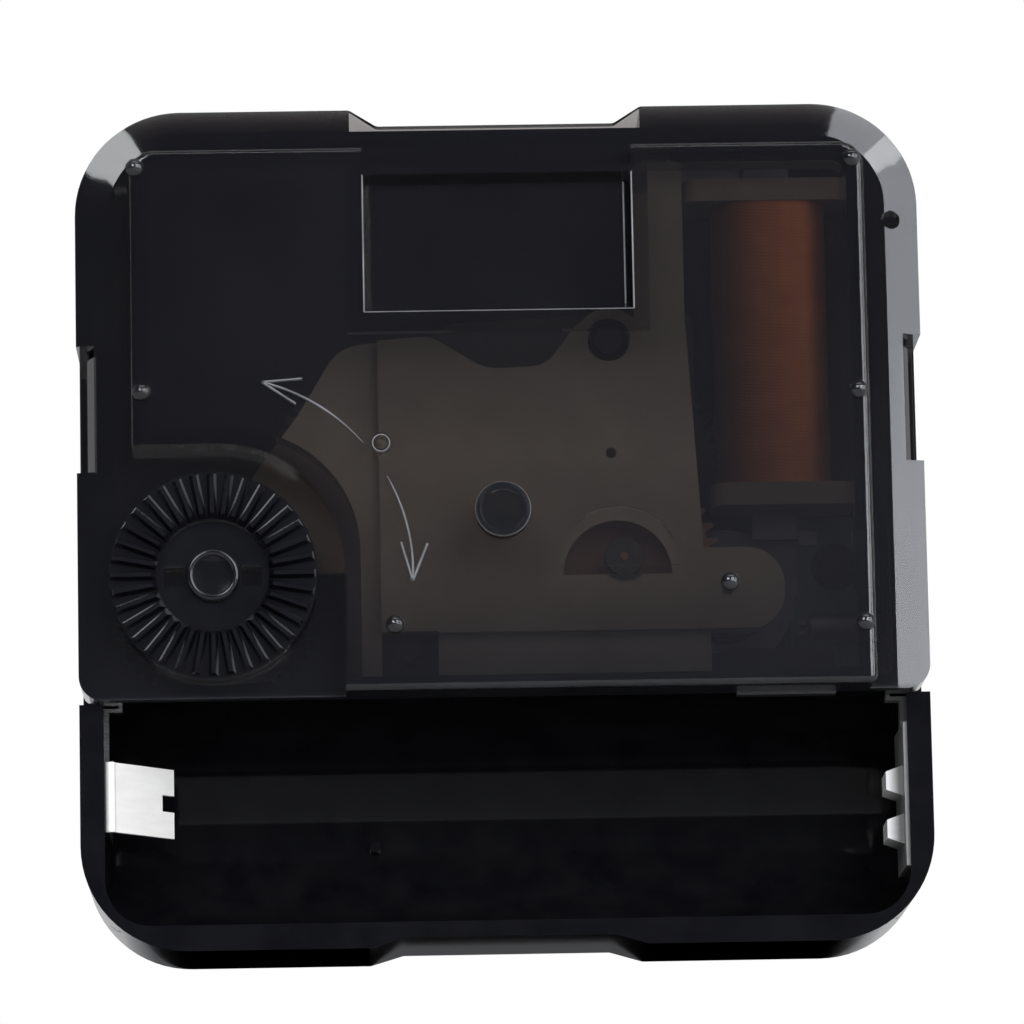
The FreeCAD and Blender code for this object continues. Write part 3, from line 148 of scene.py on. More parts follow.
# Battery bay, whose wall gets a round normal and a lower gloss
BAY_AXIS_Z = -19.2
BAY_AXIS_DEPTH = 8.6
BAY_REACH = 7.4
BAY_WALL_MARGIN = 0.06
BAY_HALF = 26.4
BAY_END_MARGIN = 0.05
BAY_SPECULAR_SHARE = 0.38

# Where the finishes change by place: painted shade on the cover, bridge, pole and coil, the cover's lip and
# the fifth wheel's dark bush
COVER_VEIL_RUN = (-6.0, 12.0)
COVER_LIP_Z = (-12.0, -11.5)
BRIDGE_ARM_Z = (4.0, 12.0)
BRIDGE_FOOT_Z = (-10.0, -4.0)
FIFTH_X = 8.06
FIFTH_Z = -2.58
FIFTH_BUSH_RADIUS = 1.6
POLE_PLATE_X = (25.2, 25.9)
POLE_HOOK_Z = (-15.0, -13.5)
COIL_DIM_X = (16.5, 19.3)


# Node helpers
def new_material(name):
    material = bpy.data.materials.new(name)
    material.use_nodes = True
    tree = material.node_tree
    tree.nodes.clear()
    out = tree.nodes.new("ShaderNodeOutputMaterial")
    return material, tree, out


def add(tree, kind, **values):
    node = tree.nodes.new(kind)
    for key, value in values.items():
        setattr(node, key, value)
    return node


def link(tree, source, target):
    tree.links.new(source, target)


def noise(tree, scale, detail=3.0, roughness=0.5, stretch=(1, 1, 1)):
    """Noise over the part's own millimetres."""
    source = add(tree, "ShaderNodeTexCoord")
    mapping = add(tree, "ShaderNodeMapping")
    mapping.inputs["Scale"].default_value = [1 / MM * s for s in stretch]
    link(tree, source.outputs["Object"], mapping.inputs["Vector"])
    texture = add(tree, "ShaderNodeTexNoise")
    texture.inputs["Scale"].default_value = scale
    texture.inputs["Detail"].default_value = detail
    texture.inputs["Roughness"].default_value = roughness
    link(tree, mapping.outputs["Vector"], texture.inputs["Vector"])
    return texture.outputs["Fac"]


def ramp(tree, value, low, high):
    """Turns a noise into a colour between two colours."""
    node = add(tree, "ShaderNodeValToRGB")
    node.color_ramp.elements[0].position = 0.3
    node.color_ramp.elements[1].position = 0.7
    node.color_ramp.elements[0].color = (*low, 1)
    node.color_ramp.elements[1].color = (*high, 1)
    link(tree, value, node.inputs["Fac"])
    return node.outputs["Color"]


def spread(tree, value, low, high):
    """Maps a noise to a range."""
    node = add(tree, "ShaderNodeMapRange")
    node.inputs["To Min"].default_value = low
    node.inputs["To Max"].default_value = high
    link(tree, value, node.inputs["Value"])
    return node.outputs["Result"]


def ranged(tree, value, from_low, from_high, to_low, to_high):
    """Maps one range to another, held at both ends."""
    node = add(tree, "ShaderNodeMapRange")
    node.inputs["From Min"].default_value = from_low
    node.inputs["From Max"].default_value = from_high
    node.inputs["To Min"].default_value = to_low
    node.inputs["To Max"].default_value = to_high
    link(tree, value, node.inputs["Value"])
    return node.outputs["Result"]


def maths(tree, operation, first, second=0.0):
    """One operation on two values, each a number or an output."""
    node = add(tree, "ShaderNodeMath", operation=operation)
    for value, socket in ((first, node.inputs[0]), (second, node.inputs[1])):
        if isinstance(value, (int, float)):
            socket.default_value = value
        else:
            link(tree, value, socket)
    return node.outputs[0]


def place(tree):
    """X to the right, depth and height of the shaded point, in millimetres."""
    source = add(tree, "ShaderNodeTexCoord")
    split = add(tree, "ShaderNodeSeparateXYZ")
    link(tree, source.outputs["Object"], split.inputs[0])
    return (maths(tree, "MULTIPLY", split.outputs["X"], 1 / MM),
            maths(tree, "MULTIPLY", split.outputs["Y"], -1 / MM),
            maths(tree, "MULTIPLY", split.outputs["Z"], 1 / MM))


def distance(tree, first, second):
    """The length of the hypotenuse over two outputs."""
    return maths(tree, "SQRT", maths(tree, "ADD", maths(tree, "MULTIPLY", first, first),
                                     maths(tree, "MULTIPLY", second, second)))


def round_patch(tree, x, z, centre_x, centre_z, radius, blur):
    """1 inside a circle round an axis along the depth, falling to 0 over a blur."""
    dx = maths(tree, "SUBTRACT", x, centre_x)
    dz = maths(tree, "SUBTRACT", z, centre_z)
    return ranged(tree, distance(tree, dx, dz), radius, radius + blur, 1, 0)


def surface(name, low, high, roughness, metallic=0.0, grain=2.0, stretch=(1, 1, 1), bump=0.02, specular=0.5,
            trough=False, shade=None):
    """An opaque material with fine variation of colour, gloss and height.

    With trough, the wall of the battery bay is shaded round and less glossy. With shade, the colour is
    darker by place.
    """
    material, tree, out = new_material(name)
    shader = add(tree, "ShaderNodeBsdfPrincipled")
    coarse = noise(tree, grain * 0.2, stretch=stretch)
    fine = noise(tree, grain * 4, stretch=stretch)
    colour = ramp(tree, coarse, low, high)
    if shade:
        dimmed = add(tree, "ShaderNodeVectorMath", operation="SCALE")
        link(tree, colour, dimmed.inputs[0])
        link(tree, shade(tree), dimmed.inputs["Scale"])
        colour = dimmed.outputs[0]
    link(tree, colour, shader.inputs["Base Color"])
    link(tree, spread(tree, fine, roughness[0], roughness[1]), shader.inputs["Roughness"])
    shader.inputs["Metallic"].default_value = metallic
    shader.inputs["Specular IOR Level"].default_value = specular
    if trough:
        mask, rise, sink = trough_mask(tree)
        link(tree, ranged(tree, mask, 0.0, 1.0, specular, specular * BAY_SPECULAR_SHARE),
             shader.inputs["Specular IOR Level"])
    lift = add(tree, "ShaderNodeBump")
    lift.inputs["Strength"].default_value = bump
    lift.inputs["Distance"].default_value = 0.1 * MM
    link(tree, fine, lift.inputs["Height"])
    if trough:
        link(tree, trough_normal(tree, mask, rise, sink), lift.inputs["Normal"])
    link(tree, lift.outputs["Normal"], shader.inputs["Normal"])
    link(tree, shader.outputs["BSDF"], out.inputs["Surface"])
    return material


def trough_mask(tree):
    """1 on the half-round wall of the battery bay, with the rise and sink from its axis, in millimetres."""
    x, depth, z = place(tree)
    rise = maths(tree, "SUBTRACT", z, BAY_AXIS_Z)
    sink = maths(tree, "SUBTRACT", BAY_AXIS_DEPTH, depth)
    off_wall = maths(tree, "ABSOLUTE", maths(tree, "SUBTRACT", distance(tree, rise, sink), BAY_REACH))
    on_wall = maths(tree, "LESS_THAN", off_wall, BAY_WALL_MARGIN)
    deep = maths(tree, "GREATER_THAN", sink, 0.0)
    between = maths(tree, "LESS_THAN", maths(tree, "ABSOLUTE", x), BAY_HALF - BAY_END_MARGIN)
    return maths(tree, "MULTIPLY", maths(tree, "MULTIPLY", on_wall, deep), between), rise, sink


def trough_normal(tree, mask, rise, sink):
    """The true round normal on the wall of the battery bay, and the face's own normal elsewhere."""
    join = add(tree, "ShaderNodeCombineXYZ")
    link(tree, maths(tree, "MULTIPLY", sink, -1), join.inputs["Y"])
    link(tree, maths(tree, "MULTIPLY", rise, -1), join.inputs["Z"])
    unit = add(tree, "ShaderNodeVectorMath", operation="NORMALIZE")
    link(tree, join.outputs[0], unit.inputs[0])
    own = add(tree, "ShaderNodeNewGeometry")
    mix = add(tree, "ShaderNodeMix", data_type="VECTOR")
    link(tree, mask, mix.inputs[0])
    link(tree, own.outputs["Normal"], mix.inputs[4])
    link(tree, unit.outputs[0], mix.inputs[5])
    return mix.outputs[1]


def smoked(name):
    """Smoked clear plastic: a sharp gloss over a brown-grey tint that darkens with the thickness, with a veil
    made denser towards the bottom right as painted shade.
    """
    material, tree, out = new_material(name)
    x, _, z = place(tree)
    body = add(tree, "ShaderNodeBsdfPrincipled")
    boss = round_patch(tree, x, z, 0, 0, BOSS_RADIUS, 0.1)
    shade = add(tree, "ShaderNodeMix", data_type="RGBA")
    link(tree, boss, shade.inputs[0])
    link(tree, ramp(tree, noise(tree, 0.12, detail=2.0), (0.012, 0.012, 0.015), (0.018, 0.018, 0.021)),
         shade.inputs[6])
    shade.inputs[7].default_value = (0.006, 0.006, 0.007, 1)
    link(tree, shade.outputs[2], body.inputs["Base Color"])
    # Painted shade: the veil thickens towards the bottom right, darkening what is seen through the cover
    # there
    shade_run = maths(tree, "ADD", maths(tree, "MULTIPLY", z, -1.0), maths(tree, "MULTIPLY", x, 0.35))
    veil = maths(tree, "ADD", spread(tree, noise(tree, 0.2, detail=2.0), -0.02, 0.02),
                 ranged(tree, shade_run, *COVER_VEIL_RUN, 0.35, 0.47))
    edge = add(tree, "ShaderNodeLayerWeight")
    edge.inputs["Blend"].default_value = 0.5
    steep = ranged(tree, edge.outputs["Facing"], 0.5, 0.8, 0.0, 1.0)
    dark = maths(tree, "MAXIMUM", maths(tree, "MULTIPLY", boss, 0.8), steep)
    lip = ranged(tree, z, *COVER_LIP_Z, 0.96, 0.0)
    dark = maths(tree, "MAXIMUM", dark, lip)
    link(tree, maths(tree, "MAXIMUM", veil, dark), body.inputs["Alpha"])
    gloss = spread(tree, noise(tree, 6.0), 0.035, 0.06)
    link(tree, maths(tree, "ADD", gloss, maths(tree, "MULTIPLY", lip, 0.35)), body.inputs["Roughness"])
    body.inputs["Specular IOR Level"].default_value = 1.0
    link(tree, maths(tree, "SUBTRACT", 1.0, lip), body.inputs["Coat Weight"])
    wave = add(tree, "ShaderNodeBump")
    wave.inputs["Strength"].default_value = 0.04
    wave.inputs["Distance"].default_value = 0.2 * MM
    link(tree, noise(tree, 0.25), wave.inputs["Height"])
    link(tree, wave.outputs["Normal"], body.inputs["Normal"])
    link(tree, wave.outputs["Normal"], body.inputs["Coat Normal"])
    link(tree, body.outputs["BSDF"], out.inputs["Surface"])
    tint = add(tree, "ShaderNodeVolumeAbsorption")
    tint.inputs["Color"].default_value = (0.14, 0.05, 0.0, 1)
    tint.inputs["Density"].default_value = 520.0
    link(tree, tint.outputs["Volume"], out.inputs["Volume"])
    return material


def bridge_shade(tree):
    """Painted shade: the ivory plate is darker on its arm and towards its foot, by height.

    The bearing of the fifth wheel is a dark bush.
    """
    x, _, z = place(tree)
    # Painted shade: darker on the arm and towards the foot
    arm = ranged(tree, z, *BRIDGE_ARM_Z, 1.0, 0.42)
    foot = ranged(tree, z, *BRIDGE_FOOT_Z, 0.4, 1.0)
    bush = round_patch(tree, x, z, FIFTH_X, FIFTH_Z, FIFTH_BUSH_RADIUS, 0.2)
    bright = maths(tree, "SUBTRACT", 1.0, maths(tree, "MULTIPLY", bush, 0.8))
    return maths(tree, "MULTIPLY", maths(tree, "MULTIPLY", arm, foot), bright)


def pole_shade(tree):
    """The two tabs are bright, and the plate and its hook behind them stand in the shade of the wall."""
    x, _, z = place(tree)
    plate = ranged(tree, x, *POLE_PLATE_X, 1.0, 0.3)
    hook = ranged(tree, z, *POLE_HOOK_Z, 1.0, 0.2)
    return maths(tree, "MINIMUM", plate, hook)


BLACK = surface("black_gloss_plastic", (0.003, 0.003, 0.004), (0.006, 0.006, 0.007), (0.05, 0.09), bump=0.02,
                specular=0.35, trough=True)
KNOB = surface("black_knob_plastic", (0.004, 0.004, 0.005), (0.007, 0.007, 0.009), (0.08, 0.15), bump=0.03)
DARK = surface("dark_grey_acetal", (0.010, 0.010, 0.011), (0.018, 0.018, 0.019), (0.35, 0.5))
PLATE = surface("black_satin_plastic", (0.006, 0.006, 0.007), (0.012, 0.012, 0.013), (0.3, 0.4))
SMOKE = smoked("smoked_clear_plastic")
IVORY = surface("ivory_plastic", (0.54, 0.47, 0.37), (0.62, 0.55, 0.44), (0.35, 0.5), shade=bridge_shade)
BOBBIN = surface("bobbin_plastic", (0.22, 0.17, 0.14), (0.28, 0.22, 0.18), (0.35, 0.5))
WHITE = surface("white_acetal", (0.74, 0.73, 0.68), (0.82, 0.81, 0.77), (0.3, 0.45))
BROWN = surface("red_brown_acetal", (0.38, 0.19, 0.13), (0.47, 0.24, 0.17), (0.35, 0.5))
BRASS = surface("turned_brass", (0.62, 0.43, 0.16), (0.74, 0.53, 0.23), (0.16, 0.3), metallic=1.0,
                stretch=(1, 8, 1))
STEEL = surface("spring_steel", (0.5, 0.5, 0.51), (0.6, 0.6, 0.61), (0.2, 0.35), metallic=1.0,
                stretch=(1, 1, 6))
NICKEL = surface("nickel_plate", (0.90, 0.89, 0.86), (0.97, 0.96, 0.93), (0.42, 0.55), metallic=0.35,
                 stretch=(1, 1, 5))
# Painted shade: the negative contact's nickel gets a dark colour for the shade of the bay wall
SHADED_STRIP = surface("nickel_strip_painted_shade", (0.20, 0.20, 0.20), (0.28, 0.28, 0.275), (0.2, 0.32), metallic=1.0,
                stretch=(1, 1, 5))
POLE = surface("nickel_pole", (0.80, 0.79, 0.77), (0.90, 0.89, 0.87), (0.3, 0.45), metallic=0.1,
               stretch=(1, 1, 5), shade=pole_shade)
CAN = surface("tinned_can", (0.16, 0.16, 0.17), (0.22, 0.22, 0.23), (0.3, 0.4), metallic=1.0)
IRON = surface("soft_iron", (0.10, 0.10, 0.11), (0.16, 0.16, 0.17), (0.35, 0.5), metallic=1.0)
# Painted highlight: a pale grey for the fine lines and arrows on the cover, where light catches their edges
PAINTED_HIGHLIGHT = surface("painted_highlight_line", (0.13, 0.13, 0.135), (0.24, 0.24, 0.25), (0.25, 0.4))
MAGNET = surface("sintered_magnet", (0.05, 0.05, 0.055), (0.09, 0.09, 0.095), (0.4, 0.6), metallic=0.6)
BOARD = surface("green_laminate", (0.035, 0.07, 0.035), (0.05, 0.095, 0.05), (0.25, 0.4))
RESIN = surface("black_resin", (0.008, 0.008, 0.008), (0.014, 0.014, 0.014), (0.12, 0.25), bump=0.1)
SOLDER = surface("solder", (0.20, 0.20, 0.21), (0.28, 0.28, 0.29), (0.3, 0.45), metallic=1.0, bump=0.3)


def copper():
    """Enamelled copper wire, wound in fine level turns, with painted shade that dims its left side."""
    material, tree, out = new_material("enamelled_copper_wire")
    shader = add(tree, "ShaderNodeBsdfPrincipled")
    source = add(tree, "ShaderNodeTexCoord")
    turns = add(tree, "ShaderNodeTexWave", wave_type="BANDS", bands_direction="Z")
    mapping = add(tree, "ShaderNodeMapping")
    mapping.inputs["Scale"].default_value = (1 / MM, 1 / MM, 1 / MM)
    link(tree, source.outputs["Object"], mapping.inputs["Vector"])
    link(tree, mapping.outputs["Vector"], turns.inputs["Vector"])
    turns.inputs["Scale"].default_value = 3.2
    turns.inputs["Distortion"].default_value = 0.35
    turns.inputs["Detail"].default_value = 2.0
    x, _, _ = place(tree)
    dimmed = add(tree, "ShaderNodeVectorMath", operation="SCALE")
    link(tree, ramp(tree, noise(tree, 0.35), (0.78, 0.25, 0.09), (0.95, 0.36, 0.13)), dimmed.inputs[0])
    # Painted shade: the colour is darker towards the coil's left
    link(tree, ranged(tree, x, *COIL_DIM_X, 0.42, 1.0), dimmed.inputs["Scale"])
    link(tree, dimmed.outputs[0], shader.inputs["Base Color"])
    shader.inputs["Metallic"].default_value = 0.75
    link(tree, spread(tree, turns.outputs["Fac"], 0.32, 0.5), shader.inputs["Roughness"])
    lift = add(tree, "ShaderNodeBump")
    lift.inputs["Strength"].default_value = 0.5
    lift.inputs["Distance"].default_value = 0.05 * MM
    link(tree, turns.outputs["Fac"], lift.inputs["Height"])
    link(tree, lift.outputs["Normal"], shader.inputs["Normal"])
    link(tree, shader.outputs["BSDF"], out.inputs["Surface"])
    return material


COPPER = copper()

FINISH = {
    "front_case": BLACK,
    "rear_cover": SMOKE,
    "threaded_neck": BRASS,
    "middle_plate": PLATE,
    "train_bridge": IVORY,
    "circuit_board": BOARD,
    "chip_cover": RESIN,
    "quartz_crystal": CAN,
    "solder_pads": SOLDER,
    "coil_bobbin": BOBBIN,
    "coil_winding": COPPER,
    "coil_core": IRON,
    "stator_yoke": IRON,
    "negative_contact": SHADED_STRIP,
    "negative_leaf": NICKEL,
    "positive_contact": POLE,
    "rotor_magnet": MAGNET,
    "rotor_pinion": WHITE,
    "fifth_wheel": BROWN,
    "seconds_wheel": WHITE,
    "seconds_arbor": STEEL,
    "third_wheel": DARK,
    "centre_wheel": DARK,
    "minute_pipe": BRASS,
    "slip_washer": STEEL,
    "motion_wheel": DARK,
    "hour_wheel": PLATE,
    "setting_knob": KNOB,
    "setting_gear": DARK,
}
for name, material in FINISH.items():
    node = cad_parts[name]
    node.data.materials.clear()
    node.data.materials.append(material)


def point(x, z, depth):
    """A place in metres from millimetres behind the dial seat."""
    return Vector((x, -depth, z)) * MM


def mesh_object(name, verts, faces, material, body, smooth=False):
    """A piece of the scene's own that rides on a body, with its sharp edges kept where it is smooth."""
    mesh = bpy.data.meshes.new(name)
    mesh.from_pydata([tuple(v) for v in verts], [], faces)
    mesh.validate()
    bm = bmesh.new()
    bm.from_mesh(mesh)
    bmesh.ops.recalc_face_normals(bm, faces=bm.faces)
    for edge in bm.edges:
        edge.smooth = edge.calc_face_angle(0.0) < SHARP_ANGLE
    bm.to_mesh(mesh)
    bm.free()
    for polygon in mesh.polygons:
        polygon.use_smooth = smooth
    item = bpy.data.objects.new(name, mesh)
    bpy.context.scene.collection.objects.link(item)
    mesh.materials.append(material)
    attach(item, body)
    return item


def arrow(name, start_deg, tip_deg):
    """A raised turning arrow: an arc about the knob's axis with an open chevron head."""
    half = ARROW_WIDTH / 2
    sign = 1 if tip_deg > start_deg else -1
    section = ((-half, PLATEAU_DEPTH - SUNK), (-half * ARROW_CREST_SHARE, PLATEAU_DEPTH + ARROW_HEIGHT),
               (half * ARROW_CREST_SHARE, PLATEAU_DEPTH + ARROW_HEIGHT), (half, PLATEAU_DEPTH - SUNK))
    verts = []
    for i in range(ARROW_STEPS + 1):
        angle = math.radians(start_deg + (tip_deg - start_deg) * i / ARROW_STEPS)
        swell = math.sin(math.pi * min(i / ARROW_STEPS * 2, 1) / 2)
        grow = min(1.0, ARROW_START_SHARE + (1 - ARROW_START_SHARE) * swell)
        for shift, depth in section:
            radius = ARROW_RADIUS + shift * grow
            verts.append(point(KNOB_X + radius * math.cos(angle), KNOB_Z + radius * math.sin(angle), depth))
    faces = []
    for i in range(ARROW_STEPS):
        for j in range(3):
            a = i * 4 + j
            faces.append((a, a + 1, a + 5, a + 4))
    faces.append((0, 1, 2, 3))
    faces.append(tuple(ARROW_STEPS * 4 + j for j in (3, 2, 1, 0)))
    tip = math.radians(tip_deg)
    radial = Vector((math.cos(tip), math.sin(tip)))
    along = Vector((-math.sin(tip), math.cos(tip))) * sign
    tip_place = Vector((KNOB_X, KNOB_Z)) + radial * ARROW_RADIUS
    for side in (-1, 1):
        tail = tip_place - along * ARROW_HEAD_LENGTH + radial * ARROW_HEAD_HALF * side
        run = (tip_place - tail).normalized()
        across = Vector((-run.y, run.x))
        base = len(verts)
        for end in (tail, tip_place):
            for shift, depth in section:
                spot = end + across * shift
                verts.append(point(spot.x, spot.y, depth))
        for j in range(3):
            a = base + j
            faces.append((a, a + 1, a + 5, a + 4))
        faces.append((base, base + 1, base + 2, base + 3))
        faces.append((base + 7, base + 6, base + 5, base + 4))
    # The arrow takes the pale colour of the painted highlight
    return mesh_object(name, verts, faces, PAINTED_HIGHLIGHT, "movement")


arrow("turning_arrow_up", 40.4, 75.0)
arrow("turning_arrow_down", 28.5, -3.1)


def lathe(name, x, z, profile, material, body, around=32):
    """A smooth turned form about an axis along the depth, from pairs of radius and depth."""
    verts, faces = [], []
    for radius, depth in profile:
        for i in range(around):
            angle = 2 * math.pi * i / around
            verts.append(point(x + radius * math.cos(angle), z + radius * math.sin(angle), depth))
    for j in range(len(profile) - 1):
        for i in range(around):
            a, b = j * around + i, j * around + (i + 1) % around
            faces.append((a, b, b + around, a + around))
    return mesh_object(name, verts, faces, material, body, smooth=True)


def bead(name, path, radius, depth, material, body):
    """A fine half-round line along (x, z) places on the cover."""
    verts, faces = [], []
    arc = [math.radians(a) for a in range(-90, 91, 30)]
    for i, (x, z) in enumerate(path):
        before, after = path[max(i - 1, 0)], path[min(i + 1, len(path) - 1)]
        run = Vector((after[0] - before[0], after[1] - before[1])).normalized()
        for a in arc:
            side = radius * math.sin(a)
            verts.append(point(x - run.y * side, z + run.x * side, depth + radius * math.cos(a)))
    for i in range(len(path) - 1):
        for j in range(len(arc) - 1):
            a = i * len(arc) + j
            faces.append((a, a + 1, a + 1 + len(arc), a + len(arc)))
    return mesh_object(name, verts, faces, material, body, smooth=True)


def crest(radius, half, depth, height, degrees):
    """A profile for lathe: an arc of half width and height, at a radius and a depth."""
    return [(radius + half * math.cos(math.radians(a)), depth + height * math.sin(math.radians(a)))
            for a in degrees]


def circle(x, z, radius, steps=36):
    """A closed line of (x, z) places."""
    return [(x + radius * math.cos(2 * math.pi * i / steps), z + radius * math.sin(2 * math.pi * i / steps))
            for i in range(steps + 1)]


dome = crest(0, PIP_RADIUS, PLATEAU_DEPTH - SUNK, PIP_HEIGHT + SUNK, (0, 18, 36, 54, 72, 86, 89.5))
for number, (pip_x, pip_z) in enumerate(PIPS):
    lathe("pip_%d" % number, pip_x, pip_z, dome, SMOKE, "movement")
rim = crest(BOSS_RIM, BOSS_RIM_HALF, BOSS_RIM_DEPTH, BOSS_RIM_HEIGHT, range(0, 181, 20))
lathe("boss_rim", 0, 0, rim, SMOKE, "movement", around=48)

ring = crest(CUP_RING, CUP_RING_HALF, CUP_RING_DEPTH, CUP_RING_HEIGHT, range(0, 181, 20))
lathe("cup_ring", KNOB_X, KNOB_Z, ring, KNOB, "setting", around=48)
dish = [(r, DISH_FLOOR + DISH_RISE * (r / DISH_RADIUS) ** 2)
        for r in (0.02, 0.3, 0.6, 0.9, 1.15, DISH_RADIUS)]
lathe("cup_dish", KNOB_X, KNOB_Z, dish, KNOB, "setting")

# Fine lines on the cover, pale to paint the highlights on its edges: name, (x, z) places, radius and depth
low_left, low_right = (-POCKET_HALF, POCKET_LOW), (POCKET_HALF, POCKET_LOW)
top_left, top_right = (-POCKET_HALF, POCKET_EDGE_TOP), (POCKET_HALF, POCKET_EDGE_TOP)
floor_low = (POCKET_HALF - POCKET_FLOOR_INSET, POCKET_LOW + POCKET_FLOOR_INSET)
floor_top = (POCKET_HALF - POCKET_FLOOR_INSET, POCKET_EDGE_TOP - POCKET_FLOOR_INSET)
for name, path, radius, depth in (
        ("pocket_edge_right", [low_right, top_right], 0.06, PLATEAU_DEPTH),
        ("pocket_edge_left", [low_left, top_left], 0.05, PLATEAU_DEPTH),
        ("pocket_edge_low", [low_left, low_right], 0.035, PLATEAU_DEPTH),
        ("pocket_floor_edge", [floor_low, floor_top], 0.07, POCKET_FLOOR_DEPTH),
        ("guide_ring_edge", circle(GUIDE_RING_X, GUIDE_RING_Z, GUIDE_RING_RADIUS), 0.06, GUIDE_RING_DEPTH),
        ("boss_edge", circle(0, 0, BOSS_EDGE_RADIUS), 0.06, BOSS_EDGE_DEPTH)):
    bead(name, path, radius, depth - SUNK, PAINTED_HIGHLIGHT, "movement")


def leaf_roll():
    """The small roll at the leaf's bend: a closed drum that lies along the height."""
    count = LEAF_ROLL_SIDES
    verts = []
    for height in LEAF_ROLL_ENDS:
        for i in range(count):
            angle = 2 * math.pi * i / count
            verts.append(point(LEAF_ROLL_X + LEAF_ROLL_RADIUS * math.cos(angle), height,
                               LEAF_ROLL_DEPTH + LEAF_ROLL_RADIUS * math.sin(angle)))
    faces = [(i, (i + 1) % count, (i + 1) % count + count, i + count) for i in range(count)]
    faces += [tuple(range(count)), tuple(range(2 * count - 1, count - 1, -1))]
    return mesh_object("leaf_roll", verts, faces, NICKEL, "leaf", smooth=True)


leaf_roll()


def threaded_neck():
    """The brass neck with its real thread, turned up from rows of radius, depth and share of the cut."""
    around = 64
    start, end = -NECK_LENGTH + NECK_CHAMFER, THREAD_END_DEPTH
    rows = [(NECK_BORE, -NECK_LENGTH, 0), (NECK_RADIUS - NECK_CHAMFER, -NECK_LENGTH, 0),
            (NECK_RADIUS, start, 0)]
    count = int((end - start) / (THREAD_PITCH / THREAD_STEPS))
    for i in range(1, count):
        cut = min(1.0, i / THREAD_STEPS, (count - i) / THREAD_STEPS)
        rows.append((NECK_RADIUS, start + (end - start) * i / count, cut))
    rows += [(NECK_RADIUS, end, 0), (NECK_RADIUS, 0, 0), (NECK_SEAT_RADIUS, 0, 0),
             (NECK_SEAT_RADIUS, NECK_SEAT_DEPTH, 0), (NECK_FLANGE_RADIUS, NECK_SEAT_DEPTH, 0),
             (NECK_FLANGE_RADIUS, NECK_FLANGE_DEPTH, 0), (NECK_BORE, NECK_FLANGE_DEPTH, 0)]
    verts, faces = [], []
    for radius, depth, cut in rows:
        for i in range(around):
            angle = 2 * math.pi * i / around
            turn = (depth / THREAD_PITCH + i / around) % 1.0
            drop = THREAD_CUT * cut * abs(2 * turn - 1)
            verts.append(point((radius - drop) * math.cos(angle), (radius - drop) * math.sin(angle), depth))
    for j in range(len(rows)):
        for i in range(around):
            a, b = j * around + i, j * around + (i + 1) % around
            c = (j + 1) % len(rows) * around
            faces.append((a, b, c + (i + 1) % around, c + i))
    return mesh_object("neck_thread", verts, faces, BRASS, "movement", smooth=True)


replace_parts(threaded_neck(), "threaded_neck")


# Camera
cos_el, sin_el = math.cos(CAMERA_ELEVATION), math.sin(CAMERA_ELEVATION)
back = Vector((math.sin(CAMERA_AZIMUTH) * cos_el, -math.cos(CAMERA_AZIMUTH) * cos_el, sin_el))
right = (-back).cross(Vector((0, 0, 1))).normalized()
up = right.cross(-back)
turned_right = right * math.cos(CAMERA_ROLL) + up * math.sin(CAMERA_ROLL)
turned_up = -right * math.sin(CAMERA_ROLL) + up * math.cos(CAMERA_ROLL)
lens = bpy.data.cameras.new("camera")
lens.sensor_width = SENSOR
lens.sensor_height = SENSOR
lens.sensor_fit = "HORIZONTAL"
lens.lens = SENSOR * FOCAL_SHARE
lens.clip_start = CLIP_START
lens.clip_end = CLIP_END
camera = bpy.data.objects.new("camera", lens)
bpy.context.scene.collection.objects.link(camera)
camera.matrix_world = Matrix.Translation(CAMERA_TARGET + back * CAMERA_DISTANCE) @ Matrix(
    (turned_right, turned_up, back)).transposed().to_4x4()
bpy.context.scene.camera = camera


# Floor and studio
def one_sided_floor():
    """A pale floor that keeps the part's shadow and isn't seen from below."""
    material, tree, out = new_material("floor_paint")
    shader = add(tree, "ShaderNodeBsdfPrincipled")
    link(tree, ramp(tree, noise(tree, 0.02), (0.66, 0.66, 0.66), (0.70, 0.70, 0.70)),
         shader.inputs["Base Color"])
    shader.inputs["Roughness"].default_value = 0.6
    clear = add(tree, "ShaderNodeBsdfTransparent")
    side = add(tree, "ShaderNodeNewGeometry")
    mix = add(tree, "ShaderNodeMixShader")
    link(tree, side.outputs["Backfacing"], mix.inputs["Fac"])
    link(tree, shader.outputs["BSDF"], mix.inputs[1])
    link(tree, clear.outputs["BSDF"], mix.inputs[2])
    link(tree, mix.outputs["Shader"], out.inputs["Surface"])
    return material


floor_z = cad_box[0][2]
floor_mesh = bpy.data.meshes.new("floor")
floor_mesh.from_pydata([(-FLOOR_REACH, -FLOOR_REACH, floor_z), (FLOOR_REACH, -FLOOR_REACH, floor_z),
                        (FLOOR_REACH, FLOOR_REACH, floor_z), (-FLOOR_REACH, FLOOR_REACH, floor_z)],
                       [], [(0, 1, 2, 3)])
floor_mesh.materials.append(one_sided_floor())
floor = bpy.data.objects.new("floor", floor_mesh)
bpy.context.scene.collection.objects.link(floor)

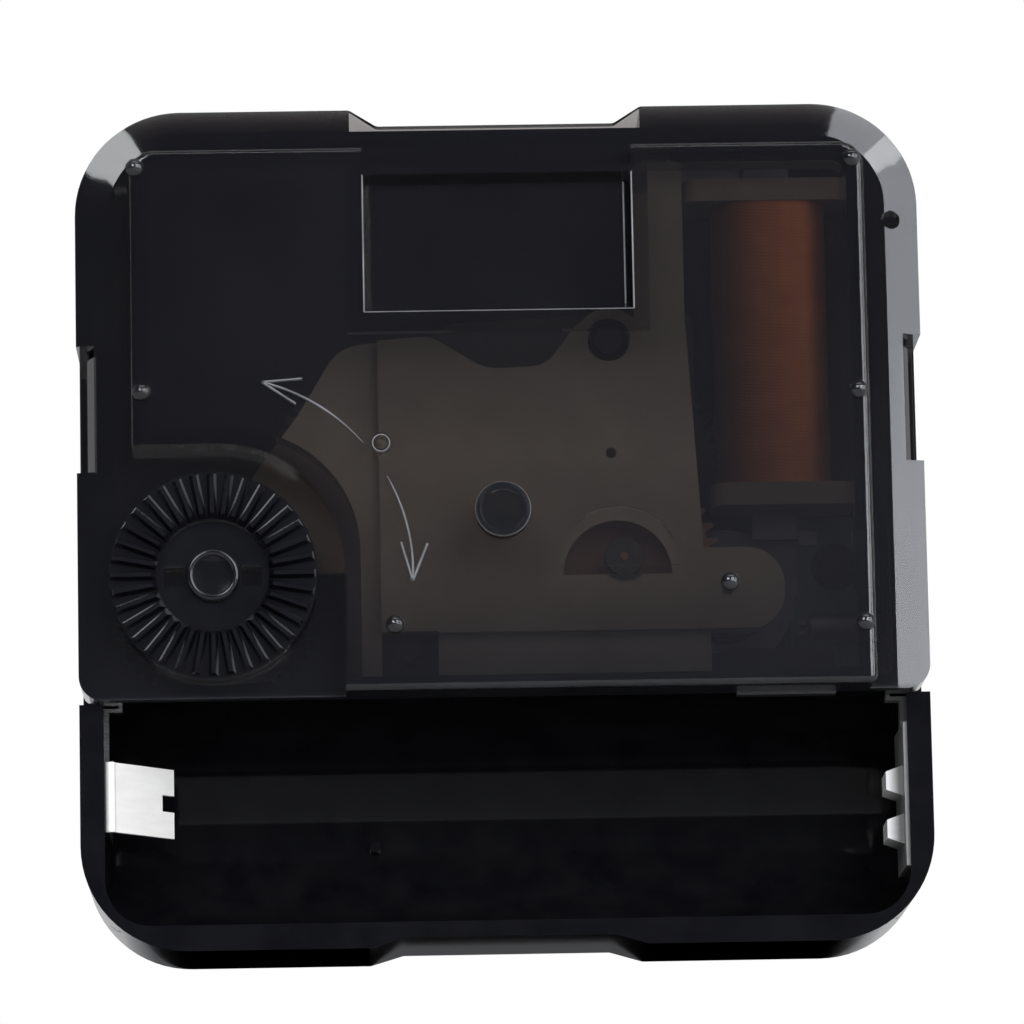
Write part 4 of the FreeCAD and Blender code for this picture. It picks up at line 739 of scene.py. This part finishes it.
world = bpy.data.worlds.new("studio")
bpy.context.scene.world = world
world.use_nodes = True
tree = world.node_tree
tree.nodes.clear()
sky = add(tree, "ShaderNodeBackground")
sky.inputs["Color"].default_value = SKY_COLOUR
white = add(tree, "ShaderNodeBackground")
white.inputs["Color"].default_value = (1, 1, 1, 1)
ray = add(tree, "ShaderNodeLightPath")
toward = add(tree, "ShaderNodeTexCoord")
split = add(tree, "ShaderNodeSeparateXYZ")
link(tree, toward.outputs["Generated"], split.inputs[0])
behind = ranged(tree, split.outputs["Y"], 0.0, BACKDROP_SPREAD, 0.0, 1.0)
shiny = maths(tree, "MAXIMUM", ray.outputs["Is Glossy Ray"], ray.outputs["Is Transmission Ray"])
backdrop = maths(tree, "MULTIPLY", maths(tree, "MULTIPLY", shiny, behind), BACKDROP_STRENGTH)
seen = maths(tree, "MAXIMUM", ray.outputs["Is Camera Ray"], backdrop)
blend = add(tree, "ShaderNodeMixShader")
out = add(tree, "ShaderNodeOutputWorld")
link(tree, seen, blend.inputs["Fac"])
link(tree, sky.outputs["Background"], blend.inputs[1])
link(tree, white.outputs["Background"], blend.inputs[2])
link(tree, blend.outputs["Shader"], out.inputs["Surface"])


def softbox(name, azimuth, elevation, reach, width, height, radiance, color=(1, 1, 1)):
    """A soft light that faces the part from the rear, turned to the right and raised, in degrees."""
    light = bpy.data.lights.new(name, "AREA")
    light.shape = "RECTANGLE"
    light.size = width
    light.size_y = height
    light.energy = radiance * width * height * math.pi
    light.color = color
    item = bpy.data.objects.new(name, light)
    bpy.context.scene.collection.objects.link(item)
    turn, lift = math.radians(azimuth), math.radians(elevation)
    spot = Vector((math.sin(turn) * math.cos(lift), -math.cos(turn) * math.cos(lift), math.sin(lift))) * reach
    item.location = spot
    item.rotation_euler = (-spot).to_track_quat("-Z", "Y").to_euler()


softbox("right_box", 26, 22, 0.9, 0.44, 0.62, 5.6, (0.90, 0.93, 1.0))
softbox("right_spot", 29.0, 28.0, 0.85, 0.09, 0.12, 6)
softbox("left_box", -20, 27, 0.9, 0.28, 0.32, 9, (0.97, 0.99, 1.0))
softbox("side_box", 60, 8, 0.9, 0.46, 0.95, 3.6, (1.0, 0.99, 0.96))
softbox("top_box", 10, 62, 0.8, 0.7, 0.2, 2.2)

bpy.context.scene.view_settings.view_transform = "Standard"
